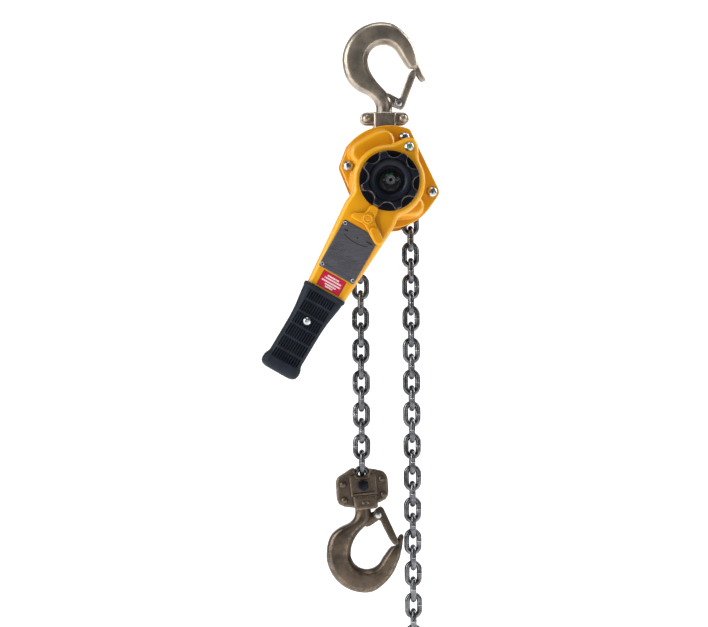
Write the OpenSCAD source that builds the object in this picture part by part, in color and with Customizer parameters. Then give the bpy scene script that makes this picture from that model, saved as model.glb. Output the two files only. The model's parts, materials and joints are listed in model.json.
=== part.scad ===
// Lever chain hoist with two chain falls, a top suspension hook and a bottom hook block.
// World frame: +X right, +Z up, the lever and hand wheel face -Y.
// Each piece is drawn "facing": x right, y up, z towards the hand wheel side.
// The origin is the centre of the top hook's bowl.

/* [Chain] */
// Wire diameter of the chain
wire_d = 7.1; // [6.3:0.1:7.3]
// Inside length of a link, which is the chain's pitch
chain_pitch = 21; // [20.8:0.1:21.6]
// Outside width of a link
link_w = 23.2; // [22.8:0.1:23.6]
// Links in the load fall below its two top links
load_links = 17; // [9:2:31]
// Links in the free fall below its two top links
free_links = 28; // [10:2:40]
// Lengthwise play of the links that lie on the load sheave
wrap_play = 0.7; // [0.6:0.05:0.8]

/* [Hooks] */
// Radius of both hook bowls
bowl_r = 21.5; // [18:0.5:23]
// Outer radius of the hook ring
hook_outer_r = 51.2; // [48:0.2:54]
// Thickness of the hook forging
hook_t = 22; // [18:1:26]
// Radius of the round hook shank
shank_r = 10.5; // [9:0.25:11.5]
// Radius of the latch pins
latch_pin_r = 2.5; // [2:0.25:3]
// Width of the safety latch
latch_w = 10; // [8:0.2:11]

/* [Frame] */
// Drop from the hook bowl to the drive axis
drive_drop = 161.5; // [158:0.5:175]
// Clear gap between the two side plates
frame_gap = 29; // [28.5:0.25:32]
// Thickness of each side plate
plate_t = 4; // [3:0.5:6]
// Radius of the bosses round the cover bolts
boss_r = 10; // [8:0.5:12]
// Radius of the body's upper left edge
crest_r = 71.5; // [68:0.5:74]
// Radius of the body's lower right edge
belly_r = 64; // [60:0.5:66]
// Thickness of the pressed covers
cover_t = 3; // [2:0.25:4]
// Radius of the cover bolts
bolt_r = 4; // [3:0.25:4.5]
// Radius of the suspension pin
top_pin_r = 6.4; // [5:0.2:7.5]

/* [Drive] */
// Gear module of both stages
gear_m = 1.5; // [1.4:0.05:1.55]
// Teeth on the drive pinion and on the small intermediate gears
small_teeth = 14; // [14:2:16]
// Teeth on the load gear and on the large intermediate gears
large_teeth = 32; // [28:2:32]
// Width of each gear
gear_w = 8; // [6:0.5:9]
// Radius of the drive shaft
shaft_r = 8; // [7:0.25:8.5]
// Radius of the load sheave's journals
journal_r = 18; // [16.5:0.25:19]
// Radius of the brake discs
disc_r = 27; // [24:0.5:28]
// Tip radius of the ratchet disc
ratchet_r = 32.5; // [32:0.25:33]
// Teeth on the ratchet disc
ratchet_teeth = 16; // [16:2:16]

/* [Lever] */
// Angle of the lever from straight down
lever_angle = 30; // [0:1:60]
// Radius of the lever's head
head_r = 47.5; // [45:0.5:50]
// Half width of the lever's blade
blade_w = 35.8; // [33:0.2:38]
// Distance from the drive axis to the mouth of the grip
grip_start = 164; // [164:1:200]
// Length of the rubber grip
grip_len = 121.8; // [100:0.2:150]
// Half width of the grip
grip_w = 23; // [19:0.5:24]
// Distance from the drive axis to the selector's spindle
selector_arm = 56.7; // [56.7:0.1:58]
// Radius of the hand wheel
wheel_r = 38.5; // [36:0.5:38.5]

/* [Bottom block] */
// Angle at which the bottom block hangs
block_tilt = 4.9; // [0:0.1:5]
// Distance from the block bolt to the bottom hook's bowl centre
block_reach = 91.3; // [91:0.1:100]
// Radius of the block bolt
block_bolt_r = 4; // [3:0.25:4.2]

/* [Hidden] */
$fn = 64;
running = 0.06;
play = 0.3;
link_play = 0.1;
plate_in = frame_gap/2;
plate_out = plate_in + plate_t;
drive_y = -drive_drop;

// Chain derived sizes
bow_r = (link_w - wire_d)/2;
bow_in = bow_r - wire_d/2;
link_in = chain_pitch + 2*link_play;
link_leg = link_in - 2*bow_in;
wrap_step = 36;
link_reach = link_in/2 + wire_d/2;
wrap_flat_r = (link_leg/2 + wrap_play + cos(wrap_step)*link_reach)/sin(wrap_step);
wrap_edge_r = cos(wrap_step)*wrap_flat_r + sin(wrap_step)*link_reach;
wrap_end_r = norm([wrap_flat_r, link_reach]);
wrap_end_a = atan(link_reach/wrap_flat_r) - wrap_step/2;
pitch_turn = 11;
fall_x = wrap_end_r*(1 + cos(wrap_end_a + pitch_turn))/2;
fall_bow_y = -wrap_end_r*sin(wrap_end_a);
fall_top_y = fall_bow_y - link_leg/2;

// Depths in front of the chain plane
disc_hub_z = plate_out + 2;
lining_t = 2.5;
ratchet_z = disc_hub_z + 4.5 + lining_t;
ratchet_t = 7;
change_z = ratchet_z + ratchet_t + lining_t;
flange_t = 3.5;
dome_in_z = change_z + flange_t + 1;
dome_z = dome_in_z + cover_t - 0.5;
lever_z = dome_z + 0.5;
back_t = 2.5;
shell_t = 3;
shell_z = lever_z + back_t;
lever_front_z = lever_z + 22;
wheel_z = lever_front_z + 1;
wheel_front_z = wheel_z + 20.5;
nut_z = wheel_front_z - 9;
shaft_end_z = nut_z + 12;

// Depths behind the chain plane
load_gear_z = -plate_out - 2;
second_z = load_gear_z - gear_w - 2;
gear_room_z = second_z - gear_w - 7.5;
gear_line = 112;
gear_a = gear_m*(small_teeth + large_teeth)/2;
large_r = gear_m*large_teeth/2;
axle_r = 5;
axle_end_z = gear_room_z + 0.5;

// Places on the body
body_centre = [5.3, 4.3];
bolt_places = [[24.2, 59.4], [-49.4, 22.4], [-18.6, -53.9], [60, -12]];
pin_y = 58;
bearing_r = journal_r + running + 5;
pawl_pivot_r = 47;
pawl_pivot_a = 135;
pawl_nose_a = 99;
pawl_nose_r = 1.2;
root_r = ratchet_r - 4;
pawl_pin_r = 3.5;
collar_r = 28.5;
collar_in_r = 25;
gear_tip_r = 21.5;
hub_r = 15;
sheave_floor_r = 19.2;
spline_r = journal_r - 3;
thread_r = shaft_r - 2;
tail_r = shaft_r - 1;
split_pin_r = 1.3;
split_pin_z = nut_z + 7;

// Places on the hooks
latch_pivot = [19.1, -56.1];
latch_len = 41.8;
latch_lean = 25.3;
latch_tip = latch_pivot + latch_len*[sin(latch_lean), cos(latch_lean)];
latch_sheet = 1.8;
cheek_z = 5.2;
ledge_y = -10;
beak_t = 4.6;
beak = [[42.6, -6, 4.6], [44.2, -13.5, 4.1], [47, -22, 3.4]];
beak_out = 2.8;
nose_lift = 0.6;
yoke_top = -67.5;
yoke_half_t = plate_in - play;
yoke_wall = 14.3;
nut_h = 10;
yoke_rivet_r = 3.2;
nut_r = 12.3;
shank_end_r = shank_r - 1.5;
neck_end = -65;
yoke_rivets = [[-23.8, -76.2], [23.8, -76.2]];
pin_drop = drive_y + pin_y;
spacer_r = bolt_r + 2.5;
yoke_end_r = pin_y - wrap_edge_r - link_w/2 - play;

// Places on the lever
lobe_y = 51;
lobe_r = 13;
lobe_pin_r = 4;
lobe_pin_head_r = 6.2;
spindle_r = 6;
selector_bore_r = 5;
taper_start = 109.5;
blade_end_w = 27.4;
plate_rivet_places = [for (x = [-22.5, 22.5], y = [-75.5, -135.3]) [x, y]];
tang_z = lever_z + 11;
pawl_z = shell_z + 2;
pawl_arm = 33.2;
selector_throw = 22;
plate_rivet_r = 1.2;
plate_sheet_t = 0.8;
tang_w = 24;
tang_t = 8;
tang_end = 12;
grip_screw_s = grip_start + 45;
grip_screw_r = 2.5;

// Places on the bottom block
hook_drop = 8;
block_shift = 2;
block_face = 58;
block_wall = 8;
block_rivet_places = [for (x = [-25.8, 25.8], y = [2.3, -18.2]) [x - block_shift, y]];
block_bolt_y = drive_y + fall_top_y - (load_links + 1)*chain_pitch - link_in/2 + block_bolt_r + 0.2;
block_half_t = 14;
block_rivet_r = 3;
bolt_hex_r = 6.6;
block_side = 33.8;

STEEL = [0.55, 0.56, 0.58];
DARK_STEEL = [0.3, 0.3, 0.31];
YELLOW = [0.87, 0.56, 0.08];
BRONZE = [0.52, 0.46, 0.38];
BLACK = [0.12, 0.13, 0.16];
ZINC = [0.72, 0.72, 0.7];

// ---- Shared helpers ----

function dir(a) = [cos(a), sin(a)];
function flat(p) = [p.x, p.y];

module facing() { rotate([90, 0, 0]) children(); }

module at_drive() { facing() translate([0, drive_y, 0]) children(); }

module at_lever() { at_drive() rotate([0, 0, -lever_angle]) children(); }

module at_block() { facing() translate([-fall_x, block_bolt_y, 0]) rotate([0, 0, block_tilt]) children(); }

module slab(z0, z1) { translate([0, 0, min(z0, z1)]) linear_extrude(abs(z1 - z0)) children(); }

module rod(r, z0, z1) { translate([0, 0, min(z0, z1)]) cylinder(r = r, h = abs(z1 - z0)); }

module ring(r, hole, z0, z1) {
    difference() {
        rod(r, z0, z1);
        rod(hole, min(z0, z1) - 1, max(z0, z1) + 1);
    }
}

// A flat bar with round ends of two radii, its sides all but tangent to both
module bar(p, q, r1, r2) {
    len = norm(q - p);
    a = atan2(q.y - p.y, q.x - p.x);
    t = acos((r1 - r2)/len);
    u = 0.999*r1;
    v = 0.999*r2;
    translate(p) circle(r = r1);
    translate(q) circle(r = r2);
    polygon([p + u*dir(a - t), q + v*dir(a - t), q + v*dir(a + t), p + u*dir(a + t)]);
}

// Bars joined end to end through stations of [x, y, radius]
module bars(stations) {
    for (i = [0 : len(stations) - 2])
        bar(flat(stations[i]), flat(stations[i + 1]), stations[i].z, stations[i + 1].z);
}

// A round wire swept along points, with a ring of six corners at each
module wire(points, r) {
    n = len(points);
    sides = 6;
    aims = [for (i = [0 : n - 1]) points[min(i + 1, n - 1)] - points[max(i - 1, 0)]];
    up = [0, 0.0871, 0.9962];
    corners = [for (i = [0 : n - 1])
        let (t = aims[i]/norm(aims[i]),
             u0 = cross(t, abs(t*up) > 0.95 ? [1, 0, 0] : up),
             u = u0/norm(u0),
             v = cross(t, u))
        for (k = [0 : sides - 1]) points[i] + r*(cos(360*k/sides)*u + sin(360*k/sides)*v)];
    walls = [for (i = [0 : n - 2]) for (k = [0 : sides - 1])
        let (a = i*sides + k, b = i*sides + (k + 1) % sides)
        each [[a, b + sides, b], [a, a + sides, b + sides]]];
    ends = [for (k = [1 : sides - 2]) each
        [[0, k, k + 1], [(n - 1)*sides, (n - 1)*sides + k + 1, (n - 1)*sides + k]]];
    polyhedron(points = corners, faces = concat(walls, ends), convexity = 6);
}

// Points of a helix about z
function helix(r, z0, z1, turns, steps = 12) =
    [for (i = [0 : turns*steps]) [r*cos(360*i/steps), r*sin(360*i/steps), z0 + (z1 - z0)*i/(turns*steps)]];

// ---- Chain ----

module chain_link() {
    for (s = [0, 180])
        rotate([0, 0, s]) translate([0, link_leg/2, 0])
            rotate_extrude(angle = 180) translate([bow_r, 0]) circle(d = wire_d);
    for (s = [-1, 1])
        translate([s*bow_r, 0, 0]) rotate([90, 0, 0]) cylinder(d = wire_d, h = link_leg, center = true);
}

// Links hanging one below the other from link number first, the odd ones edge-on
module fall(x, first, count) {
    at_drive()
        for (i = [first : first + count - 1])
            translate([x, fall_top_y - i*chain_pitch, 0]) rotate([0, (i % 2)*90, 0]) chain_link();
}

// ---- Hooks ----

// Stations of the neck; a drop above zero shortens it
function neck(drop) = [
    [-31, -22.8, 13.9],
    [-19.6, -33.9 + 0.1*drop, 12.2],
    [-8.8, -42.9 + 0.4*drop, 11],
    [-1.8, -51 + 0.8*drop, 10.6],
    [0, neck_end + shank_r + drop, shank_r]
];

module hook_outline(drop, inset) {
    ledge = ledge_y + nose_lift*drop;
    difference() {
        union() {
            difference() {
                intersection() {
                    translate([-2.6, 1.3]) circle(r = hook_outer_r - inset);
                    translate([-21.3, -9.5]) circle(r = hook_outer_r + 15 - inset);
                }
                polygon([[0, 0], [-20, -8], [-14, -36], [0, -70],
                         [70, -70], [70, ledge], [33, ledge], [26, 0]]);
            }
            bars([for (s = neck(drop)) [s.x, s.y, s.z - inset]]);
        }
        circle(r = bowl_r + inset);
    }
}

// The bottom hook's beak stays steeper, so that it clears the free fall
function beak_at(drop) = [for (i = [0 : 2])
    [beak[i].x + (drop == 0 ? beak_out*i*i/4 : 0), beak[i].y + nose_lift*drop, beak[i].z]];

// The forging with its beak, its latch ear, its round shank and the shank's threaded end
module hook_forging(drop, shank_len) {
    edge = 3;
    pivot = latch_pivot + [0, drop];
    difference() {
        union() {
            slab(-hook_t/2 + edge, hook_t/2 - edge) hook_outline(drop, 0);
            slab(-hook_t/2, hook_t/2) hook_outline(drop, edge);
            slab(-beak_t, beak_t) bars(beak_at(drop));
            slab(-3, 3) bar([4, -50 + drop], pivot, 8, 6.2);
            translate([0, neck_end + drop, 0]) rotate([90, 0, 0]) {
                translate([0, 0, -shank_r]) cylinder(r = shank_r, h = shank_len + shank_r);
                translate([0, 0, shank_len]) cylinder(r = shank_end_r, h = nut_h);
            }
        }
        translate(pivot) rod(latch_pin_r, -4, 4);
    }
}

module hook_nut(y) {
    translate([0, y, 0]) rotate([90, 0, 0]) difference() {
        cylinder(r = nut_r, h = nut_h);
        translate([0, 0, -1]) cylinder(r = shank_end_r, h = nut_h + 2);
    }
}

// A channel of sheet whose two cheeks straddle the ear and the beak, with its web on the bowl's side
module latch_plate(drop) {
    pivot = latch_pivot + [0, drop];
    tip = latch_tip + [0, nose_lift*drop];
    run = (tip - pivot)/norm(tip - pivot);
    side = (latch_w - latch_sheet)/2*[-run.y, run.x];
    difference() {
        union() {
            for (s = [-1, 1])
                slab(s*cheek_z, s*(cheek_z + latch_sheet)) bar(pivot, tip, 6, latch_w/2);
            slab(-cheek_z - 0.5, cheek_z + 0.5)
                bar(pivot + 19*run + side, tip - 2*run + side, latch_sheet/2, latch_sheet/2);
        }
        translate(pivot) rod(latch_pin_r + running, -cheek_z - 3, cheek_z + 3);
    }
}

module latch_pin(drop) {
    translate(latch_pivot + [0, drop]) {
        rod(latch_pin_r, -cheek_z - latch_sheet - 0.2, cheek_z + latch_sheet + 0.2);
        for (s = [-1, 1]) rod(latch_pin_r + 1, s*(cheek_z + latch_sheet + 0.1), s*(cheek_z + latch_sheet + 1.4));
    }
}

module latch_spring(drop) {
    coil = [for (i = [0 : 18]) [4.6*cos(180 + 30*i), 4.6*sin(180 + 30*i), 3.5 + i*0.07]];
    leg = [[-7.5, 19, 3.5], [-7, 12, 3.5], [-5.2, 4, 3.5]];
    hook_end = [[5.4, 2.6, 4.7], [6.2, 5, 4.7]];
    wire([for (p = concat(leg, coil, hook_end)) p + [latch_pivot.x, latch_pivot.y + drop, 0]], 0.4);
}

// ---- Top yoke ----

module yoke_outline() {
    translate([-15, yoke_top - 17.8]) square([30, 17.8]);
    bar(yoke_rivets[0], yoke_rivets[1], 9.2, 9.2);
    bar([0, yoke_top - 14], [0, pin_drop], 15, yoke_end_r);
}

module yoke_half(side) {
    difference() {
        slab(0, side*yoke_half_t) yoke_outline();
        translate([0, yoke_top + 1, 0]) rotate([90, 0, 0]) cylinder(r = shank_r + running, h = yoke_wall + 2);
        translate([0, yoke_top - yoke_wall, 0]) rotate([90, 0, 0]) cylinder(r = nut_r + 0.4, h = nut_h + 1.6);
        translate([0, pin_drop, 0]) rod(top_pin_r + running, -20, 20);
        for (p = yoke_rivets) translate(p) rod(yoke_rivet_r, -20, 20);
    }
}

module top_hook() { color(BRONZE) facing() hook_forging(0, neck_end - yoke_top + yoke_wall + play); }

module top_hook_nut() { color(DARK_STEEL) facing() hook_nut(yoke_top - yoke_wall - play); }

module top_latch_pin() { color(DARK_STEEL) facing() latch_pin(0); }

module top_latch_spring() { color(STEEL) facing() latch_spring(0); }

module top_latch() { color(BRONZE) facing() latch_plate(0); }

module top_yoke_front() { color(BRONZE) facing() yoke_half(1); }

module top_yoke_rear() { color(BRONZE) facing() yoke_half(-1); }

module top_yoke_rivets() {
    color(DARK_STEEL) facing()
        for (p = yoke_rivets) translate(p) {
            rod(yoke_rivet_r, -yoke_half_t, yoke_half_t);
            for (s = [-1, 1]) rod(yoke_rivet_r + 2.2, s*yoke_half_t, s*(yoke_half_t + 2.2));
        }
}

// ---- Frame ----

module sector(r, from, to) {
    intersection() {
        circle(r = r);
        polygon([[0, 0], 2*r*dir(from), 2*r*dir((from + to)/2), 2*r*dir(to)]);
    }
}

module body_outline() {
    hull() {
        for (p = bolt_places) translate(p) circle(r = boss_r);
        translate(body_centre) {
            sector(crest_r, 68, 140);
            sector(belly_r, 258, 334);
        }
    }
}

module side_plate(z0, z1) {
    difference() {
        slab(z0, z1) body_outline();
        rod(bearing_r, z0 - 1, z1 + 1);
        translate([0, pin_y, 0]) rod(top_pin_r, z0 - 1, z1 + 1);
        for (p = bolt_places) translate(p) rod(bolt_r, z0 - 1, z1 + 1);
        children();
    }
}

module pawl_places() {
    for (a = [0, 180]) rotate([0, 0, a]) translate(pawl_pivot_r*dir(pawl_pivot_a)) children();
}

module gear_places() {
    for (a = [0, 180]) rotate([0, 0, gear_line + a]) translate([gear_a, 0, 0]) children();
}

module top_pin() { color(STEEL) at_drive() translate([0, pin_y, 0]) rod(top_pin_r, -plate_out, plate_out); }

module front_side_plate() {
    color(YELLOW) at_drive() side_plate(plate_in, plate_out)
        pawl_places() rod(pawl_pin_r, plate_in - 1, plate_out + 1);
}

module rear_side_plate() {
    color(YELLOW) at_drive() side_plate(-plate_out, -plate_in)
        gear_places() rod(axle_r + running, -plate_out - 1, -plate_in + 1);
}

module stay_spacers() {
    color(STEEL) at_drive()
        for (i = [0, 1, 3]) translate(bolt_places[i]) ring(spacer_r, bolt_r, -plate_in, plate_in);
}

module dome_outline(inset) {
    circle(r = 44 - inset);
    bar([-33.2, 35.4], [-3.3, 50.8], 13 - inset, 14.5 - inset);
    bar([35, -31], [12, -33.5], 13.5 - inset, 13 - inset);
}

module brake_cover() {
    color(YELLOW) at_drive() difference() {
        union() {
            slab(plate_out, plate_out + cover_t) body_outline();
            slab(plate_out, dome_z) dome_outline(0);
            rod(collar_r, dome_z - 1, shell_z - 0.2);
        }
        slab(plate_out - 1, dome_in_z) dome_outline(cover_t);
        rod(collar_in_r, plate_out, shell_z + 1);
        for (p = bolt_places) translate(p) rod(bolt_r, plate_out - 1, plate_out + cover_t + 1);
    }
}

module gear_cover() {
    line = gear_a*dir(gear_line);
    room = large_r + gear_m + 1.3;
    color(YELLOW) at_drive() difference() {
        union() {
            slab(-plate_out, -plate_out - cover_t) body_outline();
            difference() {
                slab(-plate_out, gear_room_z - cover_t) bar(line, -line, room + cover_t, room + cover_t);
                slab(-plate_out + 1, gear_room_z) bar(line, -line, room, room);
            }
            rod(shaft_r + 3, gear_room_z - 1, gear_room_z + 6);
            gear_places() rod(axle_r + 4, gear_room_z - 1, gear_room_z + 6);
        }
        slab(-plate_out + 1, -plate_out - cover_t - 1) bar(line, -line, room, room);
        rod(tail_r + running, gear_room_z, gear_room_z + 10);
        gear_places() rod(axle_r + running, gear_room_z, gear_room_z + 10);
        for (p = bolt_places) translate(p) rod(bolt_r, -plate_out - cover_t - 1, -plate_out + 1);
    }
}

// Three through bolts stand in the spacers; the one beside the load fall is a pair of short screws
module cover_bolts() {
    seat = plate_out + cover_t;
    color(ZINC) at_drive()
        for (i = [0 : 3]) translate(bolt_places[i]) {
            if (i == 2) {
                for (s = [-1, 1]) rod(bolt_r, s*(plate_in + 0.5), s*seat);
            } else rod(bolt_r, -seat, seat);
            rod(7, seat, seat + 5);
            slab(-seat, -seat - 5) circle(r = 7, $fn = 6);
        }
}

module chain_guide() {
    color(STEEL) at_drive() {
        slab(-plate_in, plate_in) polygon([[-17, -58], [17, -58], [17, -48], [9, -39], [-9, -39], [-17, -48]]);
        slab(-3.4, 3.4) polygon([[-9, -40], [9, -40], [5, -sheave_floor_r - 2.2], [-5, -sheave_floor_r - 2.2]]);
    }
}

module sheave_bearings() {
    color(STEEL) at_drive() for (s = [-1, 1]) ring(bearing_r, journal_r + running, s*plate_in, s*plate_out);
}

module pawl_pins() {
    color(STEEL) at_drive() pawl_places() rod(pawl_pin_r, plate_in, dome_in_z - 1);
}

module pawl_springs() {
    color(STEEL) at_drive() pawl_places()
        wire([for (p = concat(helix(5, plate_out + 1, ratchet_z - 0.6, 4, 8), [[10, 3, ratchet_z - 0.6]])) p], 0.6);
}

// ---- Gears ----

// Involute of a base circle, in degrees, at radius r
function inv_angle(rb, r) = let (a = acos(min(1, rb/r))) tan(a)*180/PI - a;

// Half of a tooth's angle at radius r
function half_tooth(teeth, r) =
    let (rp = gear_m*teeth/2, rb = rp*cos(20))
    90/teeth + inv_angle(rb, rp) - inv_angle(rb, max(r, rb)) - 0.09/rp*180/PI;

// Outline of a gear with a tooth on the x axis
module gear_outline(teeth) {
    rp = gear_m*teeth/2;
    root = rp - 1.22*gear_m;
    tip = rp + 0.96*gear_m;
    flank = [root, rp*cos(20) + 0.05, rp - 0.35*gear_m, rp + 0.3*gear_m, tip];
    polygon([for (k = [0 : teeth - 1]) each concat(
        [for (r = flank) r*dir(k*360/teeth - half_tooth(teeth, r))],
        [for (i = [4 : -1 : 0]) flank[i]*dir(k*360/teeth + half_tooth(teeth, flank[i]))])]);
}

module ratchet_outline(steep) {
    step = 360/ratchet_teeth;
    polygon([for (k = [0 : ratchet_teeth - 1]) each
        let (a = steep + k*step)
        [root_r*dir(a), (ratchet_r - 2)*dir(a + step*0.45), ratchet_r*dir(a + step*0.9)]]);
}

// ---- Load train ----

module splines(z0, z1) { for (a = [0 : 60 : 300]) rotate([0, 0, a]) translate([spline_r, 0, 0]) rod(1.6, z0, z1); }

module load_sheave() {
    rim_z = plate_in - 0.6;
    rim_r = wrap_flat_r + 4.6;
    pocket_x = link_in/2 + wire_d + 0.8;
    groove_z = wire_d/2 + 0.75;
    color(DARK_STEEL) at_drive() difference() {
        union() {
            rod(rim_r, -rim_z, rim_z);
            rod(journal_r, -plate_out + 0.2, plate_out - 0.2);
            rod(spline_r, load_gear_z - gear_w - 0.5, 0);
            splines(load_gear_z - gear_w, -plate_out);
        }
        ring(rim_r + 1, sheave_floor_r, -groove_z, groove_z);
        for (k = [0 : 4])
            rotate([0, 0, 72*k])
                translate([-pocket_x, wrap_flat_r - wire_d/2 - 0.6, -link_w/2 - 0.6])
                    cube([2*pocket_x, 20, link_w + 1.2]);
        rod(shaft_r + running, -60, 60);
    }
}

module wrapped_links() {
    color(STEEL) at_drive()
        for (i = [0 : 4])
            rotate([0, 0, 72 - i*wrap_step])
                translate([0, i % 2 == 0 ? wrap_flat_r : wrap_edge_r, 0])
                    rotate([(i % 2)*90 + 90, 0, 0]) rotate([0, 0, 90]) chain_link();
}

module load_gear() {
    color(STEEL) at_drive() difference() {
        rotate([0, 0, gear_line]) slab(load_gear_z - gear_w, load_gear_z) gear_outline(large_teeth);
        rod(spline_r, load_gear_z - gear_w - 1, load_gear_z + 1);
        splines(load_gear_z - gear_w - 1, load_gear_z + 1);
    }
}

module intermediate_gear(side) {
    color(STEEL) at_drive() rotate([0, 0, gear_line + side]) translate([gear_a, 0, 0]) {
        rotate([0, 0, 180 + 180/small_teeth]) slab(second_z, load_gear_z) gear_outline(small_teeth);
        rotate([0, 0, 180 + 180/large_teeth]) slab(second_z - gear_w, second_z) gear_outline(large_teeth);
        rod(axle_r, load_gear_z - 1, -plate_in - play);
        rod(axle_r, axle_end_z, second_z);
    }
}

module intermediate_gear_a() { intermediate_gear(0); }

module intermediate_gear_b() { intermediate_gear(180); }

module drive_shaft() {
    color(STEEL) at_drive() difference() {
        union() {
            rod(shaft_r, second_z - 1, wheel_z + 9.5);
            rotate([0, 0, gear_line]) slab(second_z - gear_w, second_z) gear_outline(small_teeth);
            rod(tail_r, axle_end_z, second_z);
            rod(thread_r, wheel_z, shaft_end_z);
        }
        translate([0, 0, split_pin_z]) rotate([0, 90, 0]) cylinder(r = split_pin_r, h = 40, center = true);
    }
}

// ---- Brake ----

module disc_hub() {
    color(DARK_STEEL) at_drive() difference() {
        union() {
            rod(disc_r, disc_hub_z, ratchet_z - lining_t);
            rod(hub_r, disc_hub_z - 1, change_z);
        }
        rod(shaft_r, disc_hub_z - 2, change_z + 1);
    }
}

module friction_plates() {
    color([0.35, 0.27, 0.2]) at_drive() {
        ring(disc_r, hub_r, ratchet_z - lining_t, ratchet_z);
        ring(disc_r, hub_r, change_z - lining_t, change_z);
    }
}

module ratchet_disc() {
    color(STEEL) at_drive() difference() {
        slab(ratchet_z + 0.1, ratchet_z + ratchet_t - 0.1) ratchet_outline(pawl_nose_a - 2.9);
        rod(hub_r + running, ratchet_z - 1, change_z);
    }
}

module pawl(turn) {
    pivot = pawl_pivot_r*dir(pawl_pivot_a);
    tip = (root_r + 0.95 + pawl_nose_r)*dir(pawl_nose_a);
    elbow = [-13, 34.5, 3];
    color(DARK_STEEL) at_drive() rotate([0, 0, turn]) difference() {
        slab(ratchet_z + 0.5, ratchet_z + ratchet_t - 0.5)
            bars([[tip.x, tip.y, pawl_nose_r], elbow, [pivot.x, pivot.y, 7]]);
        translate(pivot) rod(pawl_pin_r + running, ratchet_z, ratchet_z + ratchet_t);
    }
}

module pawl_a() { pawl(0); }

module pawl_b() { pawl(180); }

module change_gear() {
    teeth_z = [shell_z + 1, shell_z + 13];
    color(STEEL) at_drive() difference() {
        union() {
            rod(disc_r, change_z, change_z + flange_t);
            rod(21, change_z, teeth_z[0]);
            difference() {
                rod(gear_tip_r, teeth_z[0], teeth_z[1]);
                for (k = [0 : 11])
                    rotate([0, 0, 180 - lever_angle + 30*k])
                        slab(teeth_z[0] - 1, teeth_z[1] + 1) polygon([[-2.9, 19.2], [2.9, 19.2], [3.8, 23], [-3.8, 23]]);
            }
            rod(18, teeth_z[0], wheel_z);
            rod(12, teeth_z[0], wheel_z + 9.5);
        }
        rod(shaft_r, change_z - 1, wheel_z + 10);
    }
}

module hand_wheel() {
    flange = 4;
    scallop_r = 10.6;
    color(BLACK) at_drive() difference() {
        rod(wheel_r, wheel_z, wheel_front_z);
        for (k = [0 : 7]) rotate([0, 0, 37.5 + 45*k]) translate([wheel_r + 1.6, 0, 0])
            rod(scallop_r, wheel_z + flange, wheel_front_z + 1);
        rod(17.6, nut_z - 1, wheel_front_z + 1);
        ring(27.7, 19.5, wheel_front_z - 2, wheel_front_z + 1);
        rod(12, wheel_z - 1, nut_z);
    }
}

module shaft_nut() {
    color(ZINC) at_drive() {
        ring(14, thread_r, nut_z - 1, nut_z);
        difference() {
            slab(nut_z, nut_z + 9) circle(r = 9.5, $fn = 6);
            rod(thread_r, nut_z - 1, nut_z + 10);
            for (a = [0, 60, 120]) rotate([0, 0, a]) translate([-12, -1.5, nut_z + 5.5]) cube([24, 3, 5]);
        }
    }
}

module split_pin() {
    color(STEEL) at_drive() translate([0, 0, split_pin_z]) rotate([0, 90, 0])
        cylinder(r = split_pin_r, h = 22, center = true);
}

// ---- Lever ----

module lever_outline(inset) {
    w = blade_w - inset;
    e = blade_end_w - inset;
    circle(r = head_r - inset);
    bar([0, 30], [0, lobe_y], 24 - inset, lobe_r - inset);
    polygon([[-e, -grip_start + inset], [e, -grip_start + inset], [w, -taper_start], [w, -50], [0.92*w, -28],
             [-0.92*w, -28], [-w, -50], [-w, -taper_start]]);
}

// The bar inside the rubber grip
module tang() {
    translate([-tang_w/2, -grip_start - grip_len + tang_end, tang_z - tang_t/2])
        cube([tang_w, grip_len - tang_end + 2, tang_t]);
}

module lever_shell() {
    color(YELLOW) at_lever() difference() {
        union() {
            difference() {
                slab(shell_z, lever_front_z) lever_outline(0);
                slab(shell_z - 1, lever_front_z - shell_t) lever_outline(shell_t);
            }
            tang();
            translate([-5, -selector_arm - 33, shell_z + 1]) cube([10, 4, lever_front_z - shell_z - 2]);
            translate([0, lobe_y, 0]) rod(lobe_pin_r + 3, shell_z, lever_front_z);
        }
        rod(20, lever_front_z - shell_t - 1, lever_front_z + 1);
        translate([0, -selector_arm, 0]) rod(spindle_r + running, lever_front_z - shell_t - 1, lever_front_z + 1);
        translate([0, lobe_y, 0]) rod(lobe_pin_r, shell_z - 1, lever_front_z + 1);
        for (p = plate_rivet_places) translate(p) rod(plate_rivet_r, lever_front_z - shell_t - 1, lever_front_z + 1);
    }
}

module lever_back_plate() {
    color(YELLOW) at_lever() difference() {
        slab(lever_z, shell_z) lever_outline(0);
        rod(collar_r + running, lever_z - 1, shell_z + 1);
        translate([0, -selector_arm, 0]) rod(spindle_r + running, lever_z - 1, shell_z + 1);
        translate([0, lobe_y, 0]) rod(lobe_pin_r, lever_z - 1, shell_z + 1);
    }
}

module lever_pin() {
    color(ZINC) at_lever() translate([0, lobe_y, 0]) {
        rod(lobe_pin_r, lever_z, lever_front_z);
        rod(lobe_pin_head_r, lever_front_z, lever_front_z + 2);
    }
}

module rounded_rect(x, y, r) {
    square([x, y - 2*r], center = true);
    square([x - 2*r, y], center = true);
    for (i = [-1, 1], j = [-1, 1]) translate([i*(x/2 - r), j*(y/2 - r)]) circle(r = r);
}

module name_plate() {
    color([0.36, 0.36, 0.38]) at_lever() difference() {
        translate([0, -105.4, 0]) slab(lever_front_z, lever_front_z + plate_sheet_t) rounded_rect(51.4, 68, 2.5);
        for (p = plate_rivet_places) translate(p) rod(plate_rivet_r, lever_front_z - 1, lever_front_z + 2);
    }
}

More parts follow.
